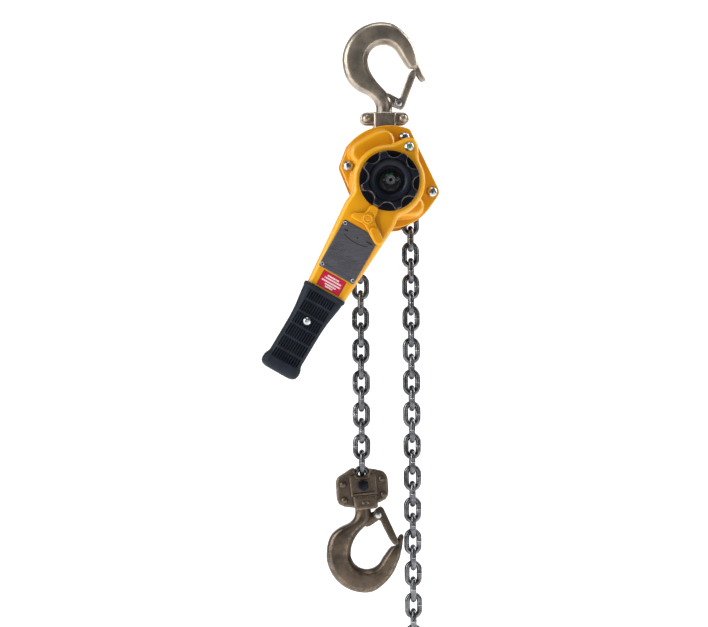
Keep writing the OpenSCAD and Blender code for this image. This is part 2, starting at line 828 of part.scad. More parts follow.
module plate_rivets() {
    color(ZINC) at_lever() for (p = plate_rivet_places) translate(p) {
        rod(plate_rivet_r, lever_front_z - shell_t, lever_front_z + plate_sheet_t);
        rod(plate_rivet_r + 1.1, lever_front_z + plate_sheet_t, lever_front_z + plate_sheet_t + 0.7);
    }
}

module red_sticker() {
    color([0.8, 0.12, 0.22]) at_lever() translate([0, -151.5, 0])
        slab(lever_front_z, lever_front_z + 0.3) rounded_rect(33.2, 21, 1);
}

// A length of grip from distance s0 to s1 along the lever
module grip_length(s0, s1, w, t) {
    translate([0, -s0, tang_z]) rotate([90, 0, 0])
        linear_extrude(s1 - s0) rounded_rect(2*w, 2*t, min(w, t) - 1);
}

module grip() {
    end = grip_start + grip_len;
    color(BLACK) at_lever() difference() {
        union() {
            grip_length(grip_start, grip_start + 24, grip_w + 6, 17);
            grip_length(grip_start + 24, grip_start + 36, grip_w + 2.5, 16);
            grip_length(grip_start + 36, end - 18, grip_w, 15);
            grip_length(end - 18, end, grip_w + 3.5, 17);
        }
        tang();
        translate([0, -grip_screw_s, 0]) rod(grip_screw_r, tang_z, tang_z + 20);
    }
}

module grip_screw() {
    color(ZINC) at_lever() translate([0, -grip_screw_s, 0]) {
        rod(grip_screw_r, tang_z + tang_t/2, tang_z + 15);
        rod(2*grip_screw_r, tang_z + 15, tang_z + 17.5);
    }
}

module detent_spring() {
    z = pawl_z + 4;
    color(STEEL) at_lever() {
        translate([0, -selector_arm - 10.3, z]) rotate([90, 0, 0]) cylinder(r = 2.4, h = 4);
        translate([0, -selector_arm - 14.9, z]) rotate([90, 0, 0]) wire(helix(2.4, 0, 13.4, 5, 8), 0.6);
    }
}

module change_over_pawl() {
    color(DARK_STEEL) at_lever() translate([0, -selector_arm, 0]) {
        slab(pawl_z, pawl_z + 8) {
            circle(r = 10);
            for (s = [-1, 1]) bar([0, 0], pawl_arm*[sin(selector_throw*s), cos(selector_throw*s)], 7, 2.5);
        }
        rod(spindle_r, lever_z, lever_front_z + 0.5);
        rod(selector_bore_r, lever_front_z, lever_front_z + 6);
    }
}

module selector_lever() {
    base = lever_front_z + 1;
    color(YELLOW) at_lever() translate([0, -selector_arm, 0]) difference() {
        union() {
            rod(8.5, base, base + 5.5);
            slab(base + 1.2, base + 5) {
                bar([0, 0], [25.8, -17.6], 8, 6);
                bar([0, 0], [-17, -5.6], 7.5, 5);
                bar([0, 0], [-1.8, 13], 7.5, 4.2);
            }
        }
        rod(selector_bore_r, base - 1, base + 7);
    }
}

module selector_screw() {
    color(ZINC) at_lever() translate([0, -selector_arm, 0])
        rod(spindle_r, lever_front_z + 6.5, lever_front_z + 8.5);
}

// ---- Falls ----

module load_chain_top() { color(STEEL) fall(-fall_x, 0, 2); }

module load_chain() { color(STEEL) fall(-fall_x, 2, load_links); }

module free_chain_top() { color(STEEL) fall(fall_x, 0, 2); }

module free_chain() { color(STEEL) fall(fall_x, 2, free_links); }

module chain_end_stop() {
    last = free_links + 1;
    stop_r = 15;
    stop_wire = bow_in - play;
    y = fall_top_y - last*chain_pitch - link_in/2 + stop_wire + 0.1 - stop_r;
    color(STEEL) at_drive() translate([fall_x, y, 0]) rotate([0, (1 - last % 2)*90, 0])
        rotate_extrude() translate([stop_r, 0]) circle(r = stop_wire);
}

// ---- Bottom block ----

module block_outline() {
    translate([-block_shift - 17, -block_reach + block_face]) square([34, block_reach - block_face + 20.5]);
    bar(block_rivet_places[0], block_rivet_places[2], 8, 8);
    bar(block_rivet_places[1], block_rivet_places[3], 8, 8);
    translate([-block_shift - block_side, block_rivet_places[1].y])
        square([2*block_side, block_rivet_places[0].y - block_rivet_places[1].y]);
}

module block_half(side) {
    bottom = -block_reach + block_face;
    pocket_play = 0.5;
    pocket_w = link_w/2 + 0.7;
    link_floor = -block_bolt_r - wire_d - 1.5;
    difference() {
        slab(0, side*block_half_t) block_outline();
        slab(-wire_d/2 - pocket_play, wire_d/2 + pocket_play)
            polygon([[-pocket_w, link_floor], [pocket_w, link_floor], [pocket_w, 0],
                     [15.4, 22], [-15.4, 22], [-pocket_w, 0]]);
        slab(-link_w/2 - pocket_play, link_w/2 + pocket_play) polygon([[-6, 8], [6, 8], [8, 22], [-8, 22]]);
        rod(block_bolt_r, -20, 20);
        for (p = block_rivet_places) translate(p) rod(block_rivet_r, -20, 20);
        translate([-block_shift, bottom, 0]) rotate([-90, 0, 0]) {
            translate([0, 0, -1]) cylinder(r = shank_r + running, h = block_wall + 2);
            translate([0, 0, block_wall]) cylinder(r = nut_r + 0.4, h = nut_h + 0.9);
        }
    }
}

module at_bottom_hook() {
    at_block() translate([-block_shift, -block_reach, 0]) rotate([180, 0, 0]) children();
}

module block_front() { color(BRONZE*0.8) at_block() block_half(1); }

module block_rear() { color(BRONZE*0.8) at_block() block_half(-1); }

module block_rivets() {
    color(DARK_STEEL) at_block() for (p = block_rivet_places) translate(p) {
        rod(block_rivet_r, -block_half_t, block_half_t);
        for (s = [-1, 1]) rod(block_rivet_r + 2, s*block_half_t, s*(block_half_t + 2));
    }
}

module block_bolt() {
    color(DARK_STEEL) at_block() {
        rod(block_bolt_r, -block_half_t - 4, block_half_t);
        slab(block_half_t, block_half_t + 4.5) circle(r = bolt_hex_r, $fn = 6);
        difference() {
            slab(-block_half_t, -block_half_t - 5) circle(r = bolt_hex_r, $fn = 6);
            rod(block_bolt_r, -40, -10);
        }
    }
}

module bottom_hook() {
    color(BRONZE*0.6) at_bottom_hook()
        hook_forging(hook_drop, neck_end + hook_drop + block_face + block_wall + play);
}

module bottom_hook_nut() { color(DARK_STEEL) at_bottom_hook() hook_nut(-block_face - block_wall - play); }

module bottom_latch_pin() { color(DARK_STEEL) at_bottom_hook() latch_pin(hook_drop); }

module bottom_latch_spring() { color(STEEL) at_bottom_hook() latch_spring(hook_drop); }

module bottom_latch() { color(BRONZE*0.6) at_bottom_hook() latch_plate(hook_drop); }

top_hook();
top_hook_nut();
top_latch_pin();
top_latch_spring();
top_latch();
top_yoke_front();
top_yoke_rear();
top_yoke_rivets();
top_pin();
front_side_plate();
rear_side_plate();
stay_spacers();
brake_cover();
gear_cover();
cover_bolts();
chain_guide();
sheave_bearings();
pawl_pins();
pawl_springs();
load_sheave();
wrapped_links();
load_gear();
drive_shaft();
disc_hub();
friction_plates();
change_gear();
hand_wheel();
shaft_nut();
split_pin();
intermediate_gear_a();
intermediate_gear_b();
ratchet_disc();
pawl_a();
pawl_b();
lever_shell();
lever_back_plate();
lever_pin();
name_plate();
plate_rivets();
red_sticker();
grip();
grip_screw();
detent_spring();
selector_lever();
change_over_pawl();
selector_screw();
load_chain_top();
load_chain();
block_front();
block_rear();
block_rivets();
block_bolt();
bottom_hook();
bottom_hook_nut();
bottom_latch_pin();
bottom_latch_spring();
bottom_latch();
free_chain_top();
free_chain();
chain_end_stop();
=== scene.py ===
import json
from math import cos, exp, hypot, pi, radians, sin, sqrt

import bmesh
import bpy
import numpy as np
from mathutils import Matrix, Vector
from mathutils.geometry import convex_hull_2d


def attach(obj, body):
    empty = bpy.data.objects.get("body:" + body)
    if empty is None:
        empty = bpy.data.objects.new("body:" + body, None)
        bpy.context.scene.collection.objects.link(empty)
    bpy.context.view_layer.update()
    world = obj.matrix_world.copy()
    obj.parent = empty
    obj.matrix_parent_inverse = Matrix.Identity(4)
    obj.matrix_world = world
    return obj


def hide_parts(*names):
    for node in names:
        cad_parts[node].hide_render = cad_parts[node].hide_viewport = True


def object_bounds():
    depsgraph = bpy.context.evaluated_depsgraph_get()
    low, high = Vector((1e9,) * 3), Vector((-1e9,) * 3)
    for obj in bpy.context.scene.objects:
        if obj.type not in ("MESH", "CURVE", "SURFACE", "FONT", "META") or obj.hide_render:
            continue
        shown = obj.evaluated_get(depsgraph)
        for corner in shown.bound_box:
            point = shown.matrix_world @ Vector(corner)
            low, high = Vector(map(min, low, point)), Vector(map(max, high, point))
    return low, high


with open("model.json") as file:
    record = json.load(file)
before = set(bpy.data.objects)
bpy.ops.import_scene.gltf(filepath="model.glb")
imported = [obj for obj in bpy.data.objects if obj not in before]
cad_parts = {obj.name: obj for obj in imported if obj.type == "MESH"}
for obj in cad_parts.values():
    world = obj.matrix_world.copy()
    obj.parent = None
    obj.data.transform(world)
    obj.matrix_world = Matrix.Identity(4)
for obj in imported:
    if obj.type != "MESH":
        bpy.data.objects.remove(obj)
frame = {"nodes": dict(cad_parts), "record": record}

cad_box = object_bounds()

# Studio. A long lens stands level with the middle of the hoist, a little to its left. The sweep is one pale
# sheet that runs from the floor up behind the hoist. Two tall soft boxes on the left give the paint its
# paired edge lines.

VIEW_CENTRE = Vector((-0.042, 0, -0.332))
VIEW_DISTANCE = 2.9
VIEW_ANGLE = radians(4.2)
VIEW_ROLL = radians(-0.48)

camera_data = bpy.data.cameras.new("camera")
camera_data.lens = 112
camera_data.sensor_width = 36
camera_data.clip_end = 60
camera = bpy.data.objects.new("camera", camera_data)
bpy.context.collection.objects.link(camera)
camera.location = VIEW_CENTRE - VIEW_DISTANCE*Vector((sin(VIEW_ANGLE), cos(VIEW_ANGLE), 0))
aim = (VIEW_CENTRE - camera.location).to_track_quat("-Z", "Y").to_matrix()
camera.rotation_euler = (aim @ Matrix.Rotation(VIEW_ROLL, 3, "Z")).to_euler()
bpy.context.scene.camera = camera

floor_z = cad_box[0][2] - 0.004
SWEEP_HALF_WIDTH = 2.6
SWEEP_FRONT = -2.4
SWEEP_BACK = 2.2
SWEEP_RADIUS = 1.6
SWEEP_TOP = 5.0
sweep_line = [(SWEEP_FRONT, floor_z), (SWEEP_BACK, floor_z)]
sweep_line += [(SWEEP_BACK + SWEEP_RADIUS*sin(radians(a)), floor_z + SWEEP_RADIUS*(1 - cos(radians(a))))
               for a in range(6, 91, 6)]
sweep_line += [(SWEEP_BACK + SWEEP_RADIUS, SWEEP_TOP)]
sweep_mesh = bpy.data.meshes.new("studio_sweep")
sweep_mesh.from_pydata([(x, y, z) for y, z in sweep_line for x in (-SWEEP_HALF_WIDTH, SWEEP_HALF_WIDTH)], [],
                       [(2*i, 2*i + 1, 2*i + 3, 2*i + 2) for i in range(len(sweep_line) - 1)])
sweep_mesh.shade_smooth()
sweep = bpy.data.objects.new("studio_sweep", sweep_mesh)
bpy.context.collection.objects.link(sweep)


class Socket:
    """A shader socket that takes part in arithmetic like a number."""

    def __init__(self, finish, link):
        self.finish, self.link = finish, link

    def math(self, operation, a, b=0.0):
        return self.finish.node("Math", {"operation": operation}, {0: a, 1: b})

    def __add__(self, other):
        return self.math("ADD", self, other)

    def __radd__(self, other):
        return self.math("ADD", other, self)

    def __sub__(self, other):
        return self.math("SUBTRACT", self, other)

    def __rsub__(self, other):
        return self.math("SUBTRACT", other, self)

    def __mul__(self, other):
        return self.math("MULTIPLY", self, other)

    def __rmul__(self, other):
        return self.math("MULTIPLY", other, self)

    def __pow__(self, other):
        return self.math("POWER", self, other)

    def __lt__(self, other):
        return self.math("LESS_THAN", self, other)

    def __gt__(self, other):
        return self.math("GREATER_THAN", self, other)

    def __abs__(self):
        return self.math("ABSOLUTE", self)

    def highest(self, other):
        return self.math("MAXIMUM", self, other)

    def lowest(self, other):
        return self.math("MINIMUM", self, other)

    def step(self, low, high):
        """0 below low, 1 above high, and smooth between them."""
        return self.finish.node("MapRange", {"interpolation_type": "SMOOTHSTEP"},
                                {"Value": self, "From Min": low, "From Max": high})

    def part(self, name):
        """One output of the node that this socket belongs to."""
        return Socket(self.finish, self.link.node.outputs[name])


class Finish:
    """A material whose constants sit on the shader and whose varying values are linked."""

    def __init__(self, name, **constants):
        self.material = bpy.data.materials.new(name)
        self.material.use_nodes = True
        self.tree = self.material.node_tree
        self.shader = self.tree.nodes["Principled BSDF"]
        for key, value in constants.items():
            self.shader.inputs[key.replace("_", " ").title().replace("Ior", "IOR")].default_value = value

    def node(self, kind, settings=None, inputs=None, output=0):
        made = self.tree.nodes.new("ShaderNode" + kind)
        for key, value in (settings or {}).items():
            setattr(made, key, value)
        for key, value in (inputs or {}).items():
            if isinstance(value, Socket):
                self.tree.links.new(value.link, made.inputs[key])
            else:
                made.inputs[key].default_value = value
        return Socket(self, made.outputs[output])

    def place(self):
        """Position in the row frame, in metres."""
        return self.node("TexCoord", output="Object")

    def front(self, x, z):
        """Millimetres to the right of a point and above it, as seen from the front."""
        split = self.node("SeparateXYZ", inputs={0: self.place()})
        return split*1000 - x, split.part("Z")*1000 - z

    def noise(self, scale, detail=4.0, rough=0.5, stretch=(1, 1, 1)):
        at = self.place()
        if stretch != (1, 1, 1):
            at = self.node("Mapping", inputs={"Vector": at, "Scale": stretch})
        return self.node("TexNoise",
                         inputs={"Vector": at, "Scale": scale, "Detail": detail, "Roughness": rough})

    def cells(self, scale):
        return self.node("TexVoronoi", {"feature": "F1"}, {"Vector": self.place(), "Scale": scale})

    def edge_mask(self):
        """The weights in a piece's mesh, which the finishes use for painted highlights on edges, painted
        shade in recesses, wear and weld lines.
        """
        return self.node("Attribute", {"attribute_name": "edge"}, output="Fac")

    def mix(self, factor, a, b):
        a, b = (tone if isinstance(tone, Socket) else (*tone, 1) for tone in (a, b))
        return self.node("Mix", {"data_type": "RGBA"}, {0: factor, 6: a, 7: b}, output=2)

    def use(self, **values):
        for key, value in values.items():
            self.tree.links.new(value.link, self.shader.inputs[key.replace("_", " ").title()])
        return self

    def bump(self, height, depth, strength=1.0):
        """Height from 0 to 1 becomes a relief of that depth in metres."""
        relief = self.node("Bump", inputs={"Height": height, "Distance": depth, "Strength": strength})
        return self.use(normal=relief)


def pale_sweep():
    f = Finish("pale_sweep", roughness=0.9, emission_strength=0.8)
    grain = f.noise(3.0, 2.0)
    tone = f.mix(grain, (0.93, 0.93, 0.93), (0.97, 0.97, 0.97))
    return f.use(base_color=tone, emission_color=tone).material


sweep_mesh.materials.append(pale_sweep())


HOIST = Vector((0, 0, -0.3))


def soft_box(name, place, size, watts):
    data = bpy.data.lights.new(name, "AREA")
    data.shape, data.size, data.size_y = "RECTANGLE", *size
    data.energy = watts
    light = bpy.data.objects.new(name, data)
    light.location = place
    light.rotation_euler = (HOIST - Vector(place)).to_track_quat("-Z", "Y").to_euler()
    bpy.context.collection.objects.link(light)


soft_box("box_front_left", (-1.9, -1.5, 0.5), (0.4, 1.9), 35)
soft_box("box_left", (-2.3, -0.3, 0.3), (0.4, 1.8), 24)
soft_box("box_right", (1.7, 0.4, 0.7), (0.5, 1.6), 34)
soft_box("box_front_right", (1.5, -1.7, -0.4), (0.35, 1.5), 7)
soft_box("box_top", (0.1, -0.7, 2.0), (1.2, 0.7), 14)

# The room is dim, but looks pale where a view passes the edge of the sweep.
world = bpy.data.worlds.new("studio")
bpy.context.scene.world = world
world.use_nodes = True
room = world.node_tree
dim = room.nodes["Background"]
dim.inputs["Color"].default_value = (0.9, 0.93, 1.0, 1)
dim.inputs["Strength"].default_value = 0.05
pale = room.nodes.new("ShaderNodeBackground")
pale.inputs["Color"].default_value = (0.97, 0.97, 0.97, 1)
seen = room.nodes.new("ShaderNodeLightPath")
chosen = room.nodes.new("ShaderNodeMixShader")
room.links.new(seen.outputs["Is Camera Ray"], chosen.inputs[0])
room.links.new(dim.outputs[0], chosen.inputs[1])
room.links.new(pale.outputs[0], chosen.inputs[2])
room.links.new(chosen.outputs[0], room.nodes["World Output"].inputs["Surface"])
bpy.context.scene.view_settings.view_transform = "Standard"

# Hooks. Both are drop forged from one die: a flat-sided ring with rounded outer edges and a bevel round the
# bowl, a thin beak for the latch and a round shank. The upper one has a light bronze lacquer and the lower
# one a darker one.


def facing(x, y, z):
    """Millimetres as seen from the front, with z towards the hand wheel, to metres in the row frame."""
    return np.stack([np.asarray(x)*1.0, -np.asarray(z)*1.0, np.asarray(y)*1.0], axis=-1)*0.001


def circle(n):
    """Angles of n even steps round a circle."""
    return np.arange(n)*2*pi/n


def level_ring(angles, radius, z, centre=(0, 0)):
    """Points round a centre at height z; radius is one number or one for each angle."""
    x, y = centre[0] + radius*np.cos(angles), centre[1] + radius*np.sin(angles)
    return np.column_stack([x, y, np.full(len(angles), z)])


def edge_weights(steps):
    """The third number of each step, which may be left out for 0."""
    return [step[2] if len(step) > 2 else 0 for step in steps]


def unit(rows):
    """Vectors cut to length 1."""
    return rows/np.linalg.norm(rows, axis=-1)[..., None]


class Shape:
    """Vertices, faces and edge weights that are gathered for one piece, in the facing frame."""

    def __init__(self):
        self.points, self.faces, self.edges, self.count = [], [], [], 0

    def rings(self, rings, edges=None, capped=True):
        """Skins a list of equal rings of (x, y, z); edges gives one weight for each ring."""
        n, start = len(rings[0]), self.count
        for i, ring in enumerate(rings):
            self.points.append(np.asarray(ring, float))
            self.edges.append(np.zeros(n) + (0 if edges is None else edges[i]))
        self.count += n*len(rings)
        for i in range(len(rings) - 1):
            for k in range(n):
                a, b = start + i*n + k, start + i*n + (k + 1) % n
                self.faces.append((a, b, b + n, a + n))
        if capped:
            last = start + (len(rings) - 1)*n
            self.faces += [tuple(range(start + n - 1, start - 1, -1)), tuple(range(last, last + n))]
        return self

    def plate(self, line, steps):
        """Stacks a counter-clockwise line through (inset, z) or (inset, z, edge) steps from the back."""
        rings = [np.column_stack([inset(line, depth), np.full(len(line), z)]) for depth, z, *_ in steps]
        return self.rings(rings, edge_weights(steps))

    def sided(self, line, steps, side):
        """A plate whose steps are for the front, turned to the rear where side is -1."""
        return self.plate(line, [(depth, side*z, *edge) for depth, z, *edge in steps[::side]])

    def turned(self, centre, profile, n, start=0.0):
        """Revolves (radius, z) or (radius, z, edge) about an axis through centre, from back to front."""
        rings = [level_ring(circle(n) + start, r, z, centre) for r, z, *_ in profile]
        return self.rings(rings, edge_weights(profile))

    def tube(self, path, radius, n):
        """Sweeps a round wire along a path."""
        path = np.asarray(path, float)
        run = unit(np.gradient(path, axis=0))
        side = unit(np.cross(run[0], (0.1, 0.2, 0.97)))
        rings = []
        a = circle(n)
        for p, r in zip(path, run):
            side = unit(side - r*np.dot(side, r))
            round_p = np.outer(np.cos(a), side) + np.outer(np.sin(a), np.cross(r, side))
            rings.append(p + radius*round_p)
        return self.rings(rings)

    def moved(self, change):
        """Passes every point through change, which takes and returns an array of (x, y, z)."""
        self.points = [change(p) for p in self.points]
        return self

    def piece(self, name, body, slot, material, nodes, sharp):
        """Makes the object, rides it on its body and lets it stand for its CAD nodes."""
        mesh = bpy.data.meshes.new(name)
        p = np.concatenate(self.points)
        mesh.from_pydata(facing(p[:, 0], p[:, 1], p[:, 2]).tolist(), [], self.faces)
        mesh.attributes.new("edge", "FLOAT", "POINT").data.foreach_set("value", np.concatenate(self.edges))
        skin = bmesh.new()
        skin.from_mesh(mesh)
        bmesh.ops.recalc_face_normals(skin, faces=skin.faces)
        skin.to_mesh(mesh)
        skin.free()
        mesh.shade_smooth()
        mesh.set_sharp_from_angle(angle=radians(sharp))
        mesh.materials.append(material)
        made = bpy.data.objects.new(name, mesh)
        bpy.context.collection.objects.link(made)
        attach(made, body)
        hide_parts(*nodes)


def inset(line, depth):
    """A closed line moved inwards. Points that would cross at a tight corner close up between the others."""
    run = np.roll(line, -1, 0) - np.roll(line, 1, 0)
    moved = line - unit(np.column_stack([run[:, 1], -run[:, 0]]))*depth
    span = np.roll(line, -1, 0) - line
    along = np.clip(((moved[:, None] - line)*span).sum(-1)/(span*span).sum(-1), 0, 1)
    away = np.linalg.norm(moved[:, None] - line - along[..., None]*span, axis=-1).min(1)
    index = np.arange(len(line))
    good = index[away >= abs(depth)*0.97]
    return np.column_stack([np.interp(index, good, moved[good, k], period=len(line)) for k in (0, 1)])


def turn(points, degrees):
    """Points turned counter-clockwise about the origin of the facing frame."""
    points = np.array(points, float)
    c, s = cos(radians(degrees)), sin(radians(degrees))
    x, y = points[..., 0], points[..., 1]
    return np.stack([c*x - s*y, s*x + c*y], axis=-1)


def bronze(name, light, dark, highlight_tone):
    """Lacquered forging: mottled tone, fine scale pits, and a painted highlight in paler metal along weighted
    edges, patchy like scuffed lacquer.
    """
    f = Finish(name, metallic=0.8, coat_weight=0.15, coat_roughness=0.3, ior=1.6)
    cloud = f.noise(38, 5, 0.62)
    grain = f.noise(900, 3, 0.6)
    pits = f.cells(620)
    # Painted highlight: the weighted edges, broken up by noise, take the third, paler tone.
    edge_mask = f.edge_mask().step(0.25, 0.95)*f.noise(240, 4, 0.7).step(0.36, 0.7)
    tone = f.mix(cloud.step(0.32, 0.68), dark, light)
    tone = f.mix(grain.step(0.42, 0.75)*0.35, tone, [c*1.35 for c in light])
    tone = f.mix(edge_mask*0.35, tone, highlight_tone)
    f.use(base_color=tone, roughness=0.24 + 0.14*cloud + 0.10*grain - 0.08*edge_mask)
    return f.bump(grain*0.45 + cloud*0.35 + pits.step(0.0, 0.5)*0.3, 0.00022).material


# The third tone of each bronze is its painted edge highlight.
HOOK_BRONZE = bronze("hook_bronze", (0.45, 0.375, 0.295), (0.20, 0.175, 0.145), (0.68, 0.60, 0.50))
DARK_BRONZE = bronze("dark_bronze", (0.115, 0.082, 0.056), (0.032, 0.025, 0.019), (0.40, 0.31, 0.22))

BOWL_R = 21.5
RING_R = 51.2
RING_CENTRE = (-2.6, 1.3)
BACK_R = 66.2
BACK_CENTRE = (-21.3, -9.5)
SHANK_R = 10.5
HOOK_HALF = 11.0
LATCH_PIVOT = np.array([19.1, -56.1])
NOSE_LIFT = 0.6
NOSE_LEDGE = -10
TOP_HOOK_GROWTH = 1.5
LOWER_DROP = 8


def hook_section(inner, outer, half, soft):
    """One closed section from the bowl's side to the outer side. At soft 0 it has the die's bevel along the
    bowl, a flat face and a rounded outer edge, and at soft 1 it is an ellipse."""
    inner, outer = np.array(inner, float), np.array(outer, float)
    width = np.linalg.norm(outer - inner)
    k = min(1, width/27)
    bowl = [(0, 0), (0, .33), (.3*k, .47), (1.3*k, .58), (3.4*k, .77), (5.2*k, .92), (6.4*k, .98), (8.2*k, 1)]
    back = [(8*k, 1), (6*k, .97), (4*k, .90), (2.3*k, .78), (1*k, .6), (.2*k, .36), (0, 0)]
    span = [(8.2*k + t*(width - 16.2*k), 1.015) for t in (.33, .67)]
    top = np.array(bowl + span + [(width - s, z) for s, z in back])
    a = np.linspace(pi, 0, len(top))
    round_top = np.column_stack([width/2*(1 + np.cos(a)), np.sin(a)])
    top = top*(1 - soft) + round_top*soft
    line = np.vstack([top, top[-2:0:-1]*(1, -1)])
    # Weights on the bevel creases and the outer rounding carry the bronze's painted edge highlight.
    edge = np.zeros(len(line))
    for i in (2, 6, 7, 11, 12, 13):
        edge[i] = edge[-i] = 1 - soft
    points = inner + np.outer(line[:, 0]/width, outer - inner)
    return np.column_stack([points, line[:, 1]*half]), edge


def hook(name, body, slot, material, drop, shank_end, place, nodes):
    """The ring is skinned from shank to ledge; the beak and the latch's ear are set into it. The neck is
    shorter by drop."""
    lift = NOSE_LIFT*drop
    grow = 0 if drop else TOP_HOOK_GROWTH
    stations = [((SHANK_R, shank_end), (-SHANK_R, shank_end), SHANK_R, 1),
                ((SHANK_R, -65 + drop), (-SHANK_R, -65 + drop), SHANK_R, 1),
                ((10.2, -57.5 + 0.9*drop), (-11.2, -58.5 + 0.9*drop), 10.6, 0.8),
                ((8.6, -50.4 + 0.8*drop), (-14.2, -52.3 + 0.8*drop), 10.9, 0.45),
                ((4.2, -42.6 + 0.6*drop), (-20.4, -46.0 + 0.6*drop), HOOK_HALF, 0.15),
                ((-3.0, -34.6 + 0.3*drop), (-29.6, -41.2 + 0.4*drop), HOOK_HALF, 0),
                ((-9.6, -27.2 + 0.1*drop), (-38.3 - grow*0.3, -35.2 + 0.2*drop - grow*0.3), HOOK_HALF, 0),
                ((-15.6, -18.6), (-46.1 - grow*0.5, -26.2 - grow*0.4), HOOK_HALF, 0),
                ((-19.9, -9.2), (-51.4 - grow*0.6, -14.0 - grow*0.5), HOOK_HALF, 0)]
    for a in range(180, 26, -9):
        c, s = cos(radians(a)), sin(radians(a))
        far = RING_R
        for _ in range(6):
            x, y = RING_CENTRE[0] - grow*0.6 + far*c, RING_CENTRE[1] - grow*0.6 + far*s
            far -= max(0, hypot(x - BACK_CENTRE[0], y - BACK_CENTRE[1]) - BACK_R - grow)*0.9
        stations.append(((BOWL_R*c, BOWL_R*s), (x, y), HOOK_HALF, 0))
    ledge = NOSE_LEDGE + lift
    stations += [((23.6, 2.6 + 0.4*lift), (43.4, 8.8), HOOK_HALF, 0),
                 ((28.2, -4.6 + 0.8*lift), (44.7, 0.3 + 0.5*lift), HOOK_HALF - 0.6, 0.05),
                 ((31.6, ledge + 1.0), (44.9, ledge + 3.4), HOOK_HALF - 1.4, 0.15),
                 ((32.8, ledge + 0.2), (44.3, ledge + 1.0), HOOK_HALF - 2.6, 0.3),
                 ((34.4, ledge), (43.4, ledge), HOOK_HALF - 4.4, 0.5)]
    fine = smooth_rows([[*s[0], *s[1], s[2], s[3]] for s in stations], 3)
    made = [hook_section(k[0:2], k[2:4], k[4], np.clip(k[5], 0, 1)) for k in fine]
    shape = Shape().rings([m[0] for m in made], [m[1] for m in made])
    beak = np.array([[40.4, -2, 4.8, 4.6], [42.2, -7, 4.6, 4.6], [43.9, -12.5, 4.2, 4.6],
                     [45.6, -17.2, 3.8, 4.5], [47.2, -20.8, 3.5, 4.1], [48.4, -23.2, 2.6, 3.2],
                     [48.9, -24.4, 1, 1.4]])
    if drop:
        beak[:, 0] -= np.array([0, 0, 0, 0.2, 0.5, 0.8, 1.0])
    else:
        beak[:, :3] += np.array([(0, 0, 0), (0, 0, .2), (.7, 0, .5), (1.5, -.5, .8),
                                 (2.6, -1.2, 1), (3.6, -2, 1.2), (3.9, -2.3, 1)])
    beak[:, 1] += lift
    fine = smooth_rows(beak, 2)
    run = unit(np.gradient(fine[:, :2], axis=0))
    across = np.column_stack([run[:, 1], -run[:, 0]])
    parts = [hook_section(f[:2] + n*f[2], f[:2] - n*f[2], f[3], 0.5) for f, n in zip(fine, across)]
    shape.rings([p[0] for p in parts], [p[1] for p in parts])
    pivot = LATCH_PIVOT + (0, drop)
    ear = outline([bar((4, -50 + drop), pivot, 8, 6.2)], pivot - (6, -3), 90, 1)
    # The ear's edges are weighted for the bronze's painted edge highlight.
    shape.plate(ear, [(0.7, -3.0), (0, -2.4, 1), (0, 2.4, 1), (0.7, 3.0)])
    shape.moved(place).piece(name, body, slot, material, nodes, 50)


def smooth_rows(rows, parts):
    """A Catmull-Rom curve through rows of numbers, with each span cut in parts."""
    rows = np.asarray(rows, float)
    padded = np.vstack([2*rows[0] - rows[1], rows, 2*rows[-1] - rows[-2]])
    made = []
    for i in range(len(rows) - 1):
        p0, p1, p2, p3 = padded[i:i + 4]
        for k in range(parts):
            t = k/parts
            bend = (2*p0 - 5*p1 + 4*p2 - p3)*t*t + (3*p1 - p0 - 3*p2 + p3)*t**3
            made.append(0.5*(2*p1 + (p2 - p0)*t + bend))
    return np.array(made + [rows[-1]])


def disc(centre, r):
    """Test for points inside a circle."""
    return lambda p: np.hypot(p[..., 0] - centre[0], p[..., 1] - centre[1]) < r


def bar(p, q, r1, r2):
    """Test for points inside a flat bar with round ends."""
    p, q = np.array(p, float), np.array(q, float)
    length = np.linalg.norm(q - p)
    along, slope = (q - p)/length, (r1 - r2)/length

    def inside(at):
        rel = at - p
        x = rel @ along
        y = np.abs(rel[..., 0]*along[1] - rel[..., 1]*along[0])
        s = np.clip(x - y*slope/sqrt(1 - slope*slope), 0, length)
        return np.hypot(x - s, y) < r1 - slope*s
    return inside


def corners(points):
    """Test for points inside a convex polygon that runs counter-clockwise."""
    points = np.array(points, float)

    def inside(at):
        keep = np.ones(at.shape[:-1], bool)
        for a, b in zip(points, np.roll(points, -1, 0)):
            keep &= (b[0] - a[0])*(at[..., 1] - a[1]) - (b[1] - a[1])*(at[..., 0] - a[0]) >= 0
        return keep
    return inside


OUTLINE_REACH = 330


def outline(tests, centre, count, rounding):
    """The outer edge of joined shapes as seen from centre, evenly spaced and eased by rounding passes. Each
    ray is tried at every millimetre, then the millimetre that holds the edge is halved until it is fine."""
    a = circle(1440)
    ray = np.column_stack([np.cos(a), np.sin(a)])

    def inside(p):
        return np.any([test(p) for test in tests], axis=0)

    steps = np.arange(0.0, OUTLINE_REACH + 1)
    hit = inside(np.asarray(centre) + ray[:, None, :]*steps[None, :, None])
    low = steps[hit.shape[1] - 1 - np.argmax(hit[:, ::-1], axis=1)]
    high = low + steps[1]
    for _ in range(12):
        mid = (low + high)/2
        ok = inside(np.asarray(centre) + ray*mid[:, None])
        low, high = np.where(ok, mid, low), np.where(ok, high, mid)
    edge = np.asarray(centre) + ray*low[:, None]
    return even(edge, count, rounding)


def even(edge, count, rounding=0):
    """A closed line cut into equal lengths, then eased."""
    edge = np.vstack([edge, edge[:1]])
    run = np.concatenate([[0], np.cumsum(np.linalg.norm(np.diff(edge, axis=0), axis=1))])
    at = np.arange(count)*run[-1]/count
    line = np.column_stack([np.interp(at, run, edge[:, k]) for k in (0, 1)])
    for _ in range(rounding):
        line = (np.roll(line, 1, 0) + 2*line + np.roll(line, -1, 0))/4
    return line


